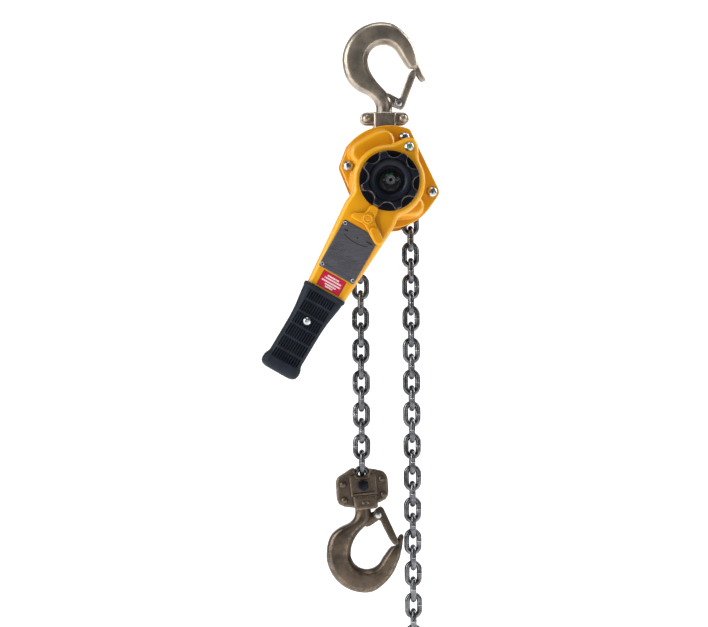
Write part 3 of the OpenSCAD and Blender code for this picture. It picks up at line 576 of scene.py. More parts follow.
BLOCK_TILT = 4.9
BLOCK_SHIFT = 2.0
BLOCK_REACH = 91.3
# Each fall's centre line hangs this far from the drive axis, and the block's bolt sits in the last link.
FALL_X = 33.3275
BLOCK_BOLT = (-FALL_X, -555.864)


def at_block(p):
    """From the block's own frame, whose centre is its bolt, to the facing frame."""
    p = p.copy()
    p[:, :2] = turn(p[:, :2], BLOCK_TILT) + BLOCK_BOLT
    return p


def at_bottom_hook(p):
    """The lower hook is the upper one's die turned over and hung from the block."""
    p = p*(1, -1, -1)
    p[:, :2] += (-BLOCK_SHIFT, -BLOCK_REACH)
    return at_block(p)


hook("top_hook_forging", "top_hook", "hook_bronze", HOOK_BRONZE, 0, -81.5, lambda p: p, ["top_hook"])
hook("bottom_hook_forging", "bottom_hook", "dark_bronze", DARK_BRONZE, LOWER_DROP, -67.5, at_bottom_hook,
     ["bottom_hook"])

# Latches. Each is a channel of sheet on a zinc-plated pin, with two cheeks beside the hook's ear and a web
# on the bowl's side. A wire spring with two turns round the pin keeps it shut against the beak.

LATCH_CHEEK = np.array([(15.2, 41.2), (12.3, 36), (5.2, 16.5), (2.8, 8), (-3.4, 5.4), (-5.8, 1.6), (-6, -2.2),
                        (-4.4, -5), (3.4, -7.6), (6.6, -6.2), (23, 36.4), (23.2, 42.4), (20.2, 44),
                        (16.8, 43.6)])


def zinc():
    """Bright plate over turned steel; weighted places are recesses, darkened with painted shade."""
    f = Finish("zinc_plate", metallic=1.0)
    cloud = f.noise(210, 4, 0.6)
    fine = f.noise(1500, 2, 0.5)
    # Painted shade in the weighted recesses.
    recess_shade = f.edge_mask().step(0.3, 0.9)
    tone = f.mix(cloud.step(0.25, 0.8), (0.30, 0.31, 0.33), (0.70, 0.71, 0.72))
    tone = f.mix(recess_shade*0.8, tone, (0.035, 0.033, 0.032))
    f.use(base_color=tone, roughness=0.22 + 0.16*cloud + 0.3*recess_shade)
    return f.bump(fine*0.5 + cloud*0.5, 0.00005).material


ZINC = zinc()


def latch(name, body, slot, material, drop, place, nodes):
    shorten = 1 - 0.4*drop/44
    cheek = LATCH_CHEEK.copy()
    cheek[:, 1] = np.where(cheek[:, 1] > 8, 8 + (cheek[:, 1] - 8)*shorten, cheek[:, 1])
    if drop:
        cheek[7:10] += ((1, -1.5), (1.2, -3.2), (1, -2.6))
    pivot = LATCH_PIVOT + (0, drop)
    line = even(cheek, 110, 2) + pivot
    web = [(6.4, 19.5), (8.2, 18.8), (15.6, 38.8*shorten), (13.8, 39.5*shorten)]
    lip = [(15.4, 41.4*shorten), (19.4, 41.6*shorten), (19.2, 43.2*shorten), (16.6, 43.2*shorten)]
    shape = Shape()
    for side in (-1, 1):
        # The cheeks' rounded edges are weighted for the bronze's painted edge highlight.
        steps = [(0.7, 5.2), (0.1, 5.5), (0, 6.2), (0.15, 6.9, 1), (0.8, 7.3, 1), (2.6, 7.4)]
        shape.sided(line, steps, side)
    for strip in (web, lip):
        shape.plate(even(np.array(strip), 40, 1) + pivot, [(0.1, -5.8), (0, -5), (0, 5), (0.1, 5.8)])
    shape.moved(place).piece(name, body, slot, material, nodes, 45)


def two_heads(head, r, half):
    """Profile of a rivet with the same head at both ends of a shank of radius r."""
    return [(p[0], -p[1]) for p in head[::-1]] + [(r, -half), (r, half)] + head


def latch_pin(name, body, drop, place, nodes):
    head = [(4.2, 7.5), (4.2, 8.2), (3.8, 9), (2.7, 9.5), (1.2, 9.7), (0.2, 9.75)]
    shape = Shape().turned(LATCH_PIVOT + (0, drop), two_heads(head, 2.5, 7.5), 32).moved(place)
    shape.piece(name, body, "zinc_plated", ZINC, nodes, 35)


def latch_spring(name, body, drop, place, nodes):
    coil = [(4.6*cos(pi + radians(15*i)), 4.6*sin(pi + radians(15*i)), 3.5 + i*0.035) for i in range(37)]
    path = [(-1.8, 9, 3.5), (-3.4, 6, 3.5), (-4.6, 3, 3.5)] + coil + [(5.4, 2.2, 4.7)]
    shape = Shape().tube(np.array(path) + (*(LATCH_PIVOT + (0, drop)), 0), 0.42, 8).moved(place)
    shape.piece(name, body, "machined_steel", ZINC, nodes, 60)


for end, slot, metal, drop, place in (("top", "hook_bronze", HOOK_BRONZE, 0, lambda p: p),
                                      ("bottom", "dark_bronze", DARK_BRONZE, LOWER_DROP, at_bottom_hook)):
    latch(end + "_latch_channel", end + "_latch", slot, metal, drop, place, [end + "_latch"])
    latch_pin(end + "_latch_rivet", end + "_hook", drop, place, [end + "_latch_pin"])
    latch_spring(end + "_latch_wire", end + "_hook", drop, place, [end + "_latch_spring"])

# Top yoke. Two equal half forgings clasp the hook's shank. Their middle stands proud of the two side lugs,
# and a dome-headed rivet closes each pair of lugs.

YOKE_RIVETS = np.array([(-23.8, -76.2), (23.8, -76.2)])
yoke_middle = outline([corners([(-14.6, -86), (14.6, -86), (14.8, -67.6), (-14.8, -67.6)]),
                       bar((0, -82), (0, -103.5), 14.9, 12.6)], (0, -84), 150, 2)
yoke_lugs = outline([bar(YOKE_RIVETS[0], YOKE_RIVETS[1], 8.4, 8.4)], (0, -76.2), 120, 2)


def rounded_edge(top, r, angles, edge):
    """Steps from the side of a plate over its rounded edge to its face."""
    return [(r*(1 - cos(radians(t))), top - r*(1 - sin(radians(t))), edge) for t in angles]


def half_body(plates, side, broken, angles):
    """One half of a split body: plates of (outline, height, edge radius) with a broken edge at the joint."""
    shape = Shape()
    for line, top, round_r in plates:
        steps = [(broken, 0.15), (0, broken + 0.2), (0, top - round_r)]
        # Weight 1 on the rounded edge carries the bronze's painted edge highlight.
        steps += rounded_edge(top, round_r, angles, 1)
        shape.sided(line, steps + [(round_r + 2, top)], side)
    return shape


for half, side in (("front", 1), ("rear", -1)):
    shape = half_body(((yoke_lugs, 9.6, 2.2), (yoke_middle, 14.1, 2.6)), side, 0.6, (30, 60, 90))
    shape.piece("top_yoke_half_" + half, "top_yoke", "hook_bronze", HOOK_BRONZE, ["top_yoke_" + half], 42)


RIVET_RIM = 0.8


def dome_head(r, z, height):
    """Profile of a domed rivet head that sits on z, with a short straight rim."""
    # The dome's weight of 0.4 gives it part of the bronze's painted highlight.
    arc = [(r*cos(radians(t)), z + RIVET_RIM + (height - RIVET_RIM)*sin(radians(t)), 0.4)
           for t in range(0, 90, 11)]
    return [(r, z)] + arc + [(0.15, z + height)]


def rivets(centres, head_r, head_height, shank_r, half, n):
    """Rivets with a domed head at both ends, through plates that reach half to either side."""
    shape = Shape()
    for centre in centres:
        shape.turned(centre, two_heads(dome_head(head_r, half, head_height), shank_r, half), n)
    return shape


yoke_rivets = rivets(YOKE_RIVETS, 5.6, 4.7, 3.2, 9.4, 40)
yoke_rivets.piece("top_yoke_rivet_pair", "top_yoke", "hook_bronze", HOOK_BRONZE, ["top_yoke_rivets"], 35)

# Body. The brake cover is pressed from sheet: a flat flange with a tall dome over the brake, which bulges
# where the two pawls sit. Three domed cross-recess screws show beside it, and hexagon nuts close them at
# the back.

DRIVE_Y = -161.5
BODY_CENTRE = np.array([5.3, 4.3])
CREST_R = 71.3
BELLY_R = 63.8
BOLTS = np.array([(24.2, 59.4), (-49.4, 22.4), (-18.6, -53.9), (60, -12)])
CROSS_TURNS = (20, 52, 0, 8)
COVER_HALF = 21.5
CHAIN_ROOM = 15


def at_drive(p):
    return p + (0, DRIVE_Y, 0)


def paint(name, light, mid, dark):
    """Powder paint: slow tone drift, orange peel, and a painted highlight in the light tone along weighted
    edges.
    """
    f = Finish(name, metallic=0.0, coat_weight=0.22, coat_roughness=0.08, specular_ior_level=0.3)
    drift = f.noise(17, 3, 0.5)
    peel = f.noise(420, 2, 0.45)
    specks = f.noise(95, 6, 0.7)
    # Painted highlight along the weighted rounded edges.
    edge_highlight = f.edge_mask().step(0.2, 1.0)*0.5
    tone = f.mix(drift.step(0.3, 0.7), dark, mid)
    tone = f.mix(edge_highlight, tone, light)
    tone = f.mix(specks.step(0.68, 0.8)*0.25, tone, dark)
    f.use(base_color=tone, roughness=0.30 + 0.10*drift + 0.08*peel)
    return f.bump(peel*0.7 + drift*0.3, 0.00012, 0.7).material


# The first tone is the painted highlight that the paint lays along weighted edges.
YELLOW = paint("yellow_paint", (0.88, 0.45, 0.015), (0.74, 0.325, 0.003), (0.62, 0.25, 0.002))


def arc_points(centre, radius, start, end):
    return [(centre[0] + radius*cos(radians(t)), centre[1] + radius*sin(radians(t)))
            for t in range(start, end + 1, 3)]


rim = [p for bolt in BOLTS for p in arc_points(bolt, 10, 0, 357)]
rim += arc_points(BODY_CENTRE, CREST_R, 68, 140) + arc_points(BODY_CENTRE, BELLY_R, 258, 334)
flange_line = even(np.array(rim)[convex_hull_2d(rim)], 320, 6)
dome_line = outline([disc((-1, 0.8), 44.6), bar((-34.5, 38.4), (-4.6, 53.8), 14.2, 15.2),
                     bar((35, -31), (12, -33.5), 13.5, 13)], (0, 0), 280, 16)
# The flange's front edges are weighted for the paint's painted highlight.
cover = Shape().plate(flange_line, [(0.9, 18.5), (0, 19.3, 1), (0, 20.3), (0.5, 21.2, 1),
                                    (1.6, COVER_HALF), (5, COVER_HALF)])
# The dome's top rounded edge is weighted for the paint's painted highlight.
dome_steps = [(-4.2, 21.3), (-3.1, 21.5), (-1.9, 22.1), (-1.0, 23.4), (-0.5, 26), (0, 36.6), (0.5, 39),
              (1.5, 41.3, 1), (3.2, 43, 1), (5.2, 43.8), (7.2, 44), (10, 44)]
cover.plate(dome_line, dome_steps)
cover.turned((0, 0), [(28.4, 43.5), (28.4, 46.8), (25.2, 46.8), (25.2, 43.5)], 64)
cover.moved(at_drive).piece("brake_cover_pressing", "frame", "yellow_paint", YELLOW, ["brake_cover"], 50)


def recessed(shape, centre, radius, z, height, cross, angle):
    """A domed head with a cross recess."""
    a = circle(48)
    radii = [radius*k for k in (1, 0.99, 0.94, 0.84, 0.7)] + list(np.linspace(radius*0.55, 0.2, 9))
    rings = [level_ring(a, radius, z)]
    weights = [np.zeros(len(a))]
    for r in radii:
        x, y = r*np.cos(a), r*np.sin(a)
        rise = 0.12 + 0.88*sqrt(max(0, 1 - (r/radius)**2))
        arm = np.clip((cross*0.24 - np.minimum(np.abs(x), np.abs(y)))/(cross*0.14), 0, 1)
        arm *= np.clip((cross - np.maximum(np.abs(x), np.abs(y)))/(cross*0.3), 0, 1)
        rings.append(np.column_stack([x, y, z + height*rise - arm*height*0.3]))
        # The recess is weighted, so the zinc darkens it with painted shade.
        weights.append(arm*0.55)
    for ring in rings:
        ring[:, :2] = turn(ring[:, :2], angle) + centre
    shape.rings(rings, weights)


bolts = Shape()
for i, (centre, cross_turn) in enumerate(zip(BOLTS, CROSS_TURNS)):
    shanks = [(-COVER_HALF, COVER_HALF)]
    if i == 2:
        # The third screw is in two parts that leave the chain room between the side plates.
        shanks = [(-COVER_HALF, -CHAIN_ROOM), (CHAIN_ROOM, COVER_HALF)]
    for low, high in shanks:
        bolts.turned(centre, [(4, low), (4, high)], 32)
    recessed(bolts, centre, radius=7.0, z=COVER_HALF, height=5.6, cross=3.4, angle=cross_turn)
    bolts.turned(centre, [(5.6, -26.6), (6.8, -25.9), (6.9, -25), (6.9, -COVER_HALF)], 6, radians(15*i))
bolts.moved(at_drive).piece("cover_screws", "frame", "zinc_plated", ZINC, ["cover_bolts"], 38)

# Lever. A deep shell with a wide edge radius, pressed from sheet steel and closed by a flat back plate. Its
# head carries the hand wheel and its lobe holds a plated pin with a dab of green paint.

LEVER_TURN = -30
LEVER_BACK = 47
LEVER_FACE = 66.5
EDGE_R = 6.5
LOBE = (0.6, 51)


def at_lever(p):
    p = p.copy()
    p[:, :2] = turn(p[:, :2], LEVER_TURN) + (0, DRIVE_Y)
    return p


flank = [(25.8, -186), (27.4, -164), (35.8, -109.5), (35.8, -50), (32.9, -28)]
arm = corners(flank + [(-x, y) for x, y in flank[::-1]])
lever_line = outline([disc((0, 0), 47.5), bar((0, 30), LOBE, 24, 13), arm], (0, -20), 420, 12)
shell_steps = [(0.5, LEVER_BACK), (0, LEVER_BACK + 0.5), (0, LEVER_FACE - EDGE_R)]
# Weights of 0.9 on the middle of the rounded edge carry the paint's painted highlight.
for angle in range(15, 91, 15):
    shell_steps += rounded_edge(LEVER_FACE, EDGE_R, [angle], 0.9 if 20 < angle < 80 else 0)
shell = Shape().plate(lever_line, shell_steps + [(9.5, LEVER_FACE)])
shell.moved(at_lever).piece("lever_shell_pressing", "lever", "yellow_paint", YELLOW, ["lever_shell"], 50)
# The back plate's weighted edge step carries the paint's painted highlight.
back = Shape().plate(lever_line, [(1.0, 44.5), (0.2, 44.9, 1), (0.2, 46.6), (0.7, LEVER_BACK)])
back.moved(at_lever).piece("lever_back_sheet", "lever", "yellow_paint", YELLOW, ["lever_back_plate"], 45)


def distance(x, z):
    """Distance of a place in the front view from the point that x and z start at."""
    return (x**2.0 + z**2.0)**0.5


def plated_with_dab(name, centre, radius):
    """Zinc plate with one dab of green marking paint."""
    f = Finish(name, metallic=1.0)
    cloud = f.noise(260, 4, 0.6)
    rough_edge = f.noise(900, 2, 0.5)
    dab = (distance(*f.front(*centre)) + rough_edge*0.6) < radius
    tone = f.mix(cloud.step(0.25, 0.8), (0.34, 0.35, 0.37), (0.74, 0.75, 0.76))
    f.use(base_color=f.mix(dab, tone, (0.012, 0.24, 0.075)), metallic=1 - dab,
          roughness=0.25 + 0.15*cloud + 0.15*dab)
    return f.bump(dab*0.7 + cloud*0.3, 0.0001).material


lobe_x, lobe_y = turn([LOBE], LEVER_TURN)[0] + (0, DRIVE_Y)
lobe_pin = Shape().turned(LOBE, [(4, 44.5), (4, LEVER_FACE), (6.1, LEVER_FACE), (6.1, 67.2), (5.7, 68.4),
                                 (4.7, 69.4), (3.2, 70.1), (1.5, 70.4), (0.15, 70.5)], 44)
lobe_pin.moved(at_lever).piece("lobe_pin", "lever", "zinc_plated",
                               plated_with_dab("dabbed_plate", (lobe_x + 0.9, lobe_y), 2.5),
                               ["lever_pin"], 35)


def lever_frame(f):
    """Millimetres across and along the lever from the drive axis, with along positive towards the grip."""
    x, z = f.front(0, DRIVE_Y)
    c, s = cos(radians(LEVER_TURN)), sin(radians(LEVER_TURN))
    return x*c + z*s, x*s - z*c


def band(value, middle, half, soft):
    """1 where value is within half of middle."""
    return 1 - abs(value - middle).step(half - soft, half + soft)


def plate_print():
    """Anodised sheet with an arc, three marks and faint ruled lines in place of any wording."""
    f = Finish("name_plate_print", metallic=0.55)
    across, along = lever_frame(f)
    arc = band(distance(across, along - 41.5), 49.7, 0.55, 0.12)*(abs(across) < 17.4)
    marks = band(along, 82.6, 1.1, 0.15)*(band(across, -17, 2.6, 0.2) + band(across, 17, 4.2, 0.2))
    marks = marks + band(along, 84.4, 1.1, 0.15)*band(across, 0.6, 1.1, 0.2)
    breaks = f.noise(430, 1, 0.5).step(0.40, 0.46)
    rows = along.math("PINGPONG", along, 1.35).step(0.78, 0.92)
    left = band(across, -13, 8.6, 0.2)*band(along, 112.5, 11, 0.2)
    right = band(across, 9.5, 9.6, 0.2)*band(along, 118, 7, 0.2)
    ruled = rows*breaks*(left.highest(right))*0.42
    base = band(along, 133.6, 0.35, 0.1)*band(across, 0, 19, 0.2)*0.45
    ink = arc.highest(marks).lowest(1.0).highest(ruled).highest(base)
    brush = f.noise(60, 5, 0.65, (1, 1, 9))
    tone = f.mix(brush.step(0.3, 0.7), (0.075, 0.075, 0.088), (0.115, 0.115, 0.132))
    f.use(base_color=f.mix(ink*0.85, tone, (0.012, 0.011, 0.012)), roughness=0.42 + 0.14*brush)
    return f.bump(brush, 0.00005).material


def rounded_rect(w, h, r, count=160):
    centres = [(w/2 - r, h/2 - r), (-w/2 + r, h/2 - r), (-w/2 + r, -h/2 + r), (w/2 - r, -h/2 + r)]
    edge = [(cx + r*cos(radians(90*i + t)), cy + r*sin(radians(90*i + t)))
            for i, (cx, cy) in enumerate(centres) for t in range(0, 91, 15)]
    return even(np.array(edge), count)


PLATE_CENTRE = (0, -105.4)
PLATE_FACE = 67.3
PLATE_RIVETS = [(x, y) for x in (-22.5, 22.5) for y in (-75.5, -135.3)]
plate_steps = [(0, LEVER_FACE), (0, 67.1), (0.3, PLATE_FACE), (2, PLATE_FACE)]
plate = Shape().plate(rounded_rect(51.4, 68, 2) + PLATE_CENTRE, plate_steps)
plate.moved(at_lever).piece("name_plate_sheet", "lever", "plate_grey", plate_print(), ["name_plate"], 45)
pins = Shape()
for centre in PLATE_RIVETS:
    # The hollow centre is weighted, so the zinc darkens it with painted shade.
    pins.turned(centre, [(1.2, 63.5), (1.2, PLATE_FACE), (2.5, PLATE_FACE), (2.45, 67.8), (2.0, 68.1),
                         (1.4, 68, 0.3), (1.1, 67.6, 1), (0.9, 66.9, 1), (0.1, 66.9, 1)], 28)
pins.moved(at_lever).piece("name_plate_rivets", "lever", "zinc_plated", ZINC, ["plate_rivets"], 35)


LABEL_AT = 151.5


def sticker_print():
    """Glossy red film with a thin dark keyline and plain white bars."""
    f = Finish("red_film", coat_weight=0.2, coat_roughness=0.1)
    across, along = lever_frame(f)
    down = along - LABEL_AT
    words = f.noise(520, 1, 0.5).step(0.34, 0.42)
    rows = [(-6.4, 8.2, -0.6), (-3.0, 12.0, 0.4), (0.9, 13.4, 0), (4.3, 8.0, 0.8), (7.2, 5.4, 0)]
    bars = None
    for at, half, shift in rows:
        row = band(down, at, 0.95, 0.25)*band(across, shift, half, 0.3)
        bars = row if bars is None else bars.highest(row)
    key = (abs(across) > 15.9).highest(abs(down) > 9.8)
    grain = f.noise(160, 3, 0.5)
    tone = f.mix(grain, (0.47, 0.006, 0.036), (0.54, 0.009, 0.048))
    tone = f.mix(bars*(0.35 + 0.5*words), tone, (0.80, 0.72, 0.74))
    f.use(base_color=f.mix(key, tone, (0.10, 0.012, 0.018)), roughness=0.28 + 0.12*grain)
    return f.material


label_steps = [(0, LEVER_FACE), (0, 66.75), (0.15, 66.82), (1, 66.82)]
label = Shape().plate(rounded_rect(33.2, 21, 1) + (0, -LABEL_AT), label_steps)
label.moved(at_lever).piece("red_sticker_film", "lever", "red_label", sticker_print(), ["red_sticker"], 45)

# Grip. One rubber sleeve that narrows from its mouth to its waist and ends in a bulb. Both faces have six
# rows of grooves along the lever, with smooth bands between the rows.

GRIP_WIDTH = [(164, 28.2), (164.5, 29.2), (168.6, 29.4), (169.6, 28.3), (171, 28), (178, 27.2), (186, 26),
              (196, 24.5), (206, 23.5), (216, 23.1), (230, 23), (262, 23), (265.5, 23.4), (268.5, 25),
              (272, 26.1),
              (277, 26.2), (281, 25.2), (283.8, 22.6), (285.3, 19), (285.7, 15.5)]
GRIP_HALF_T = [(164, 15.8), (164.6, 16.9), (168.8, 17), (169.8, 16.3), (180, 16), (196, 15.2), (215, 14.6),
               (264, 14.4), (266.3, 14.8), (268.4, 16.2), (275, 17), (281, 16.2), (284, 13.8), (285.7, 9)]
GRIP_ROWS = (170, 184.6, 202, 219.8, 237.6, 255.4, 271)
GRIP_MIDDLE = 55.5


def rubber():
    f = Finish("grip_rubber", specular_ior_level=0.2)
    cloud = f.noise(45, 4, 0.6)
    grain = f.noise(1300, 3, 0.6)
    # Painted shade: near-black in the weighted groove bottoms.
    deep = f.edge_mask().step(0.1, 0.9)
    tone = f.mix(cloud.step(0.3, 0.7), (0.006, 0.009, 0.016), (0.012, 0.017, 0.027))
    tone = f.mix(deep*0.75, tone, (0.004, 0.005, 0.007))
    f.use(base_color=tone, roughness=0.42 + 0.12*cloud + 0.14*grain + 0.15*deep)
    return f.bump(grain*0.6 + cloud*0.4, 0.00012).material


GRIP_START = 164
GRIP_LEAN = 0.0245
GROOVE_PITCH = 3.4
GROOVES = 11
GROOVE_DEPTH = 1.7
GROOVE_PROFILE = ((-1.25, 0), (-0.75, 1), (0.75, 1), (1.25, 0))


def grip_rings():
    stations = [s for s, _ in GRIP_WIDTH]
    for start, end in zip(GRIP_ROWS, GRIP_ROWS[1:]):
        stations += [start + 1.4, start + 2.2, end - 2.2, end - 1.4]
    stations = sorted(set(round(s, 2) for s in stations))
    rings, weights = [], []
    for s in stations:
        w = np.interp(s, *zip(*GRIP_WIDTH))
        t = np.interp(s, *zip(*GRIP_HALF_T))
        inside = any(start + 1.9 < s < end - 1.9 for start, end in zip(GRIP_ROWS, GRIP_ROWS[1:]))
        r = min(9.0, t - 1)
        flat = w - r
        middles = (np.arange(GROOVES) - (GROOVES - 1)/2)*GROOVE_PITCH*min(1, w/22.5)
        face = np.array([x + off for x in middles for off, _ in GROOVE_PROFILE])
        depth = np.array([low if inside else 0 for _, low in GROOVE_PROFILE]*GROOVES, float)
        over = np.clip(np.abs(face) - flat, 0, r)
        top = t - (r - np.sqrt(np.maximum(0, r*r - over*over)))
        upper = np.column_stack([face, top - GROOVE_DEPTH*depth])
        edge_x = abs(face[0])
        start = np.arcsin(np.clip((edge_x - flat)/r, -1, 1)) if edge_x > flat else 0
        corner = [(flat + r*sin(a), t - r + r*cos(a)) for a in np.linspace(start, pi/2, 9)[1:]]
        right = np.array(corner + [(x, -z) for x, z in corner[::-1]])
        ring = np.vstack([upper, right, upper[::-1]*(1, -1), right[::-1]*(-1, 1)])
        # The groove bottoms are weighted for the rubber's painted shade.
        weight = np.concatenate([depth, np.zeros(len(right)), depth[::-1], np.zeros(len(right))])
        lean = -1.2 - (s - GRIP_START)*GRIP_LEAN
        rings.append(np.column_stack([ring[:, 0] + lean, np.full(len(ring), -s), GRIP_MIDDLE + ring[:, 1]]))
        weights.append(weight)
    return rings, weights


sleeve = Shape()
sleeve.rings(*grip_rings())
sleeve.moved(at_lever).piece("grip_sleeve", "lever", "grip_rubber", rubber(), ["grip"], 38)
# The weighted dimple in the head is darkened with the zinc's painted shade.
grip_screw = Shape().turned((-3.2, -209.5), [(2.5, 58), (2.5, 69.6), (5.4, 69.6), (5.5, 70.3), (5.1, 71.5),
                                             (4.1, 72.5), (2.6, 73.1), (1.6, 73.25), (1.2, 73.0, 0.5),
                                             (0.2, 72.9, 0.8)], 40)
grip_screw.moved(at_lever).piece("grip_rivet", "lever", "zinc_plated", ZINC, ["grip_screw"], 35)

# Selector. A cast lever with three arms about its spindle; the long arm has a raised pad for the thumb. It
# is painted with its screw in place.


def raised(shape, line, low, high, round_r, flat=1.5):
    """A pad with a rounded upper edge."""
    steps = [(0.2, low), (0, low + 0.3), (0, high - round_r)]
    # Weights of 0.6 on the rounded edge carry the paint's painted highlight.
    steps += rounded_edge(high, round_r, (22, 45, 68, 90), 0.6)
    shape.plate(line, steps + [(round_r + flat, high)])


SPINDLE = np.array([0, -56.7])
arms = [((25.4, -17.4), 7.6, 6.2), ((-17.5, -5.2), 8, 3.9), ((0.5, 14.5), 8, 6)]
selector_line = outline([bar((0, 0), tip, a, b) for tip, a, b in arms], (0, 0), 220, 14)
thumb_line = outline([bar((14.5, -9.9), (25.2, -17.3), 5.3, 5.7)], (20, -13.5), 90, 1)
selector = Shape()
raised(selector, selector_line + SPINDLE, 68.2, 72.4, 1.8)
raised(selector, thumb_line + SPINDLE, 71.5, 75.0, 1.6, 0.8)
selector.turned(SPINDLE, [(8.5, 67.5), (8.5, 72.6), (7.9, 73.2)], 48)
selector.moved(at_lever).piece("selector_casting", "selector", "yellow_paint", YELLOW, ["selector_lever"], 45)
# The screw head's weighted rim carries the paint's painted highlight.
slotted = [(5, 72.5), (6.3, 72.9), (6.3, 74.2, 1), (5.8, 74.7, 1), (4.9, 74.8), (4.3, 74.5), (4.0, 74.0),
           (3.4, 74.0), (2.9, 74.3), (1.5, 74.5), (0.2, 74.5)]
spindle = Shape().turned(SPINDLE, slotted, 44)
spindle.moved(at_lever).piece("selector_spindle_screw", "selector", "yellow_paint", YELLOW,
                              ["selector_screw"], 35)

# Hand wheel. A black moulding with eight scallops above a round flange, a fine groove, and a dished face
# round the deep well of the castle nut.


def moulding():
    f = Finish("wheel_moulding", coat_weight=0.05, coat_roughness=0.1, specular_ior_level=0.15)
    cloud = f.noise(30, 4, 0.6)
    grain = f.noise(1100, 3, 0.55)
    # Brown rims on the weighted scallop edges: partly scuffed wear, partly a painted highlight.
    edge_highlight = f.edge_mask().step(0.3, 1)*f.noise(300, 3, 0.7).step(0.3, 0.7)
    tone = f.mix(cloud.step(0.3, 0.7), (0.004, 0.005, 0.009), (0.008, 0.010, 0.017))
    tone = f.mix(edge_highlight*0.6, tone, (0.26, 0.19, 0.14))
    f.use(base_color=tone, roughness=0.27 + 0.14*cloud + 0.1*grain - 0.06*edge_highlight)
    return f.bump(grain*0.5 + cloud*0.5, 0.00008).material


WHEEL_R = 38.4
SCALLOPS = 8
FIRST_SCALLOP = 37.5
SCALLOP_AT = 40.1
SCALLOP_R = 10.6


def wheel_rings():
    a = circle(384)
    scalloped = np.full(len(a), WHEEL_R)
    for k in range(SCALLOPS):
        off = (a - radians(FIRST_SCALLOP + 360/SCALLOPS*k) + pi) % (2*pi) - pi
        c, r = SCALLOP_AT, SCALLOP_R
        inside = np.abs(c*np.sin(off)) < r
        near = c*np.cos(off) - np.sqrt(np.maximum(0, r*r - (c*np.sin(off))**2))
        scalloped = np.where(inside & (np.abs(off) < 0.5), np.minimum(scalloped, near), scalloped)
    for _ in range(3):
        scalloped = (np.roll(scalloped, 1) + 2*scalloped + np.roll(scalloped, -1))/4
    # The scallops' weighted top edge gets the brown rim: partly wear, partly painted highlight.
    profile = [(12, 67.5), (38.5, 67.5), (39, 68), (39, 70.9), (38.6, 71.5), (scalloped - 0.3, 71.5),
               (scalloped, 71.9), (scalloped, 86), (scalloped - 0.35, 87.1, 1), (scalloped - 1.1, 87.8, 1),
               (scalloped - 2.2, 88), (np.minimum(scalloped - 3, 29.6), 88), (28.6, 87.8), (28.2, 87.2),
               (28.1, 85.4), (27.0, 85.3), (26.8, 86.8), (26.3, 87.4), (25, 87.5), (22, 86.6), (19.5, 85.3),
               (18.2, 84.3), (17.4, 82.8), (17.0, 79.2), (16, 79), (11, 79)]
    return [level_ring(a, r, z) for r, z, *_ in profile], edge_weights(profile)


wheel = Shape().rings(*wheel_rings()).moved(at_drive)
wheel.piece("hand_wheel_moulding", "drive", "wheel_plastic", moulding(), ["hand_wheel"], 40)


def marked_nut():
    """Dull plate on the castle nut, with two dabs of green paint on its upper corners."""
    f = Finish("nut_plate", metallic=0.9)
    cloud = f.noise(330, 4, 0.65)
    dabs = []
    for corner in ((-4.6, DRIVE_Y + 6.0), (1.2, DRIVE_Y + 7.4)):
        x, z = f.front(*corner)
        dabs.append(distance(x*0.55, z - x*0.25) < 1.0)
    green = dabs[0].highest(dabs[1])
    tone = f.mix(cloud.step(0.3, 0.75), (0.006, 0.0065, 0.008), (0.035, 0.035, 0.04))
    f.use(base_color=f.mix(green, tone, (0.01, 0.25, 0.09)), roughness=0.34 + 0.2*cloud)
    return f.bump(cloud, 0.0001).material


nut = Shape()
hexagon = even(level_ring(circle(6), 9.9, 0)[:, :2], 120, 2)
nut.turned((0, 0), [(14, 79), (14, 79.7), (13.4, 80.1), (6, 80.1)], 56)
nut.plate(hexagon, [(0, 80), (0, 85.4), (0.5, 86.2, 1), (1.5, 86.5), (3, 86.5)])
for k in range(6):
    tooth = turn([(5.2, -2), (7.6, -2), (7.6, 2), (5.2, 2)], 60*k + 30)
    nut.plate(even(tooth, 32, 1), [(0, 86), (0, 88.2), (0.5, 88.8), (1, 88.8)])
nut.moved(at_drive).piece("castle_nut", "drive", "zinc_plated", marked_nut(), ["shaft_nut"], 35)


def steel(name, light, dark, rough=0.34):
    """Bare machined steel with turning marks."""
    f = Finish(name, metallic=1.0)
    cloud = f.noise(120, 4, 0.6)
    fine = f.noise(1200, 3, 0.6)
    tone = f.mix(cloud.step(0.3, 0.7), dark, light)
    f.use(base_color=tone, roughness=rough + 0.14*cloud)
    return f.bump(fine*0.6 + cloud*0.4, 0.00006).material


MACHINED = steel("machined_steel", (0.50, 0.51, 0.53), (0.36, 0.37, 0.39))
DARK_STEEL = steel("dark_steel", (0.10, 0.10, 0.105), (0.055, 0.055, 0.06), 0.42)
cotter = Shape().tube([(x, 0, 86) for x in np.linspace(-9.6, 9.6, 12)], 1.25, 10)
cotter.tube([(9.4 + 1.6*sin(radians(t)), 1.4 - 1.4*cos(radians(t)), 86) for t in range(0, 271, 15)], 0.8, 8)
cotter.moved(at_drive).piece("cotter_pin", "drive", "machined_steel", DARK_STEEL, ["split_pin"], 60)

# Chain falls. Every link is bent from round wire and butt welded at the middle of one leg, which leaves a
# bead and a bright line. Links hang face-on and edge-on by turns.

WIRE_R = 3.55
BOW_R = 8.05
LEG = 12.2
PITCH = 21.0
TOP_LINKS = 2
LOAD_LINKS = 17
FREE_LINKS = 28
FIRST_LINK_DROP = 9.9641
FALL_TOP = DRIVE_Y - FIRST_LINK_DROP
WELD_STATIONS = (-4.4, -2.6, -1.5, -0.9, -0.45, 0, 0.45, 0.9, 1.5, 2.6, 4.4)


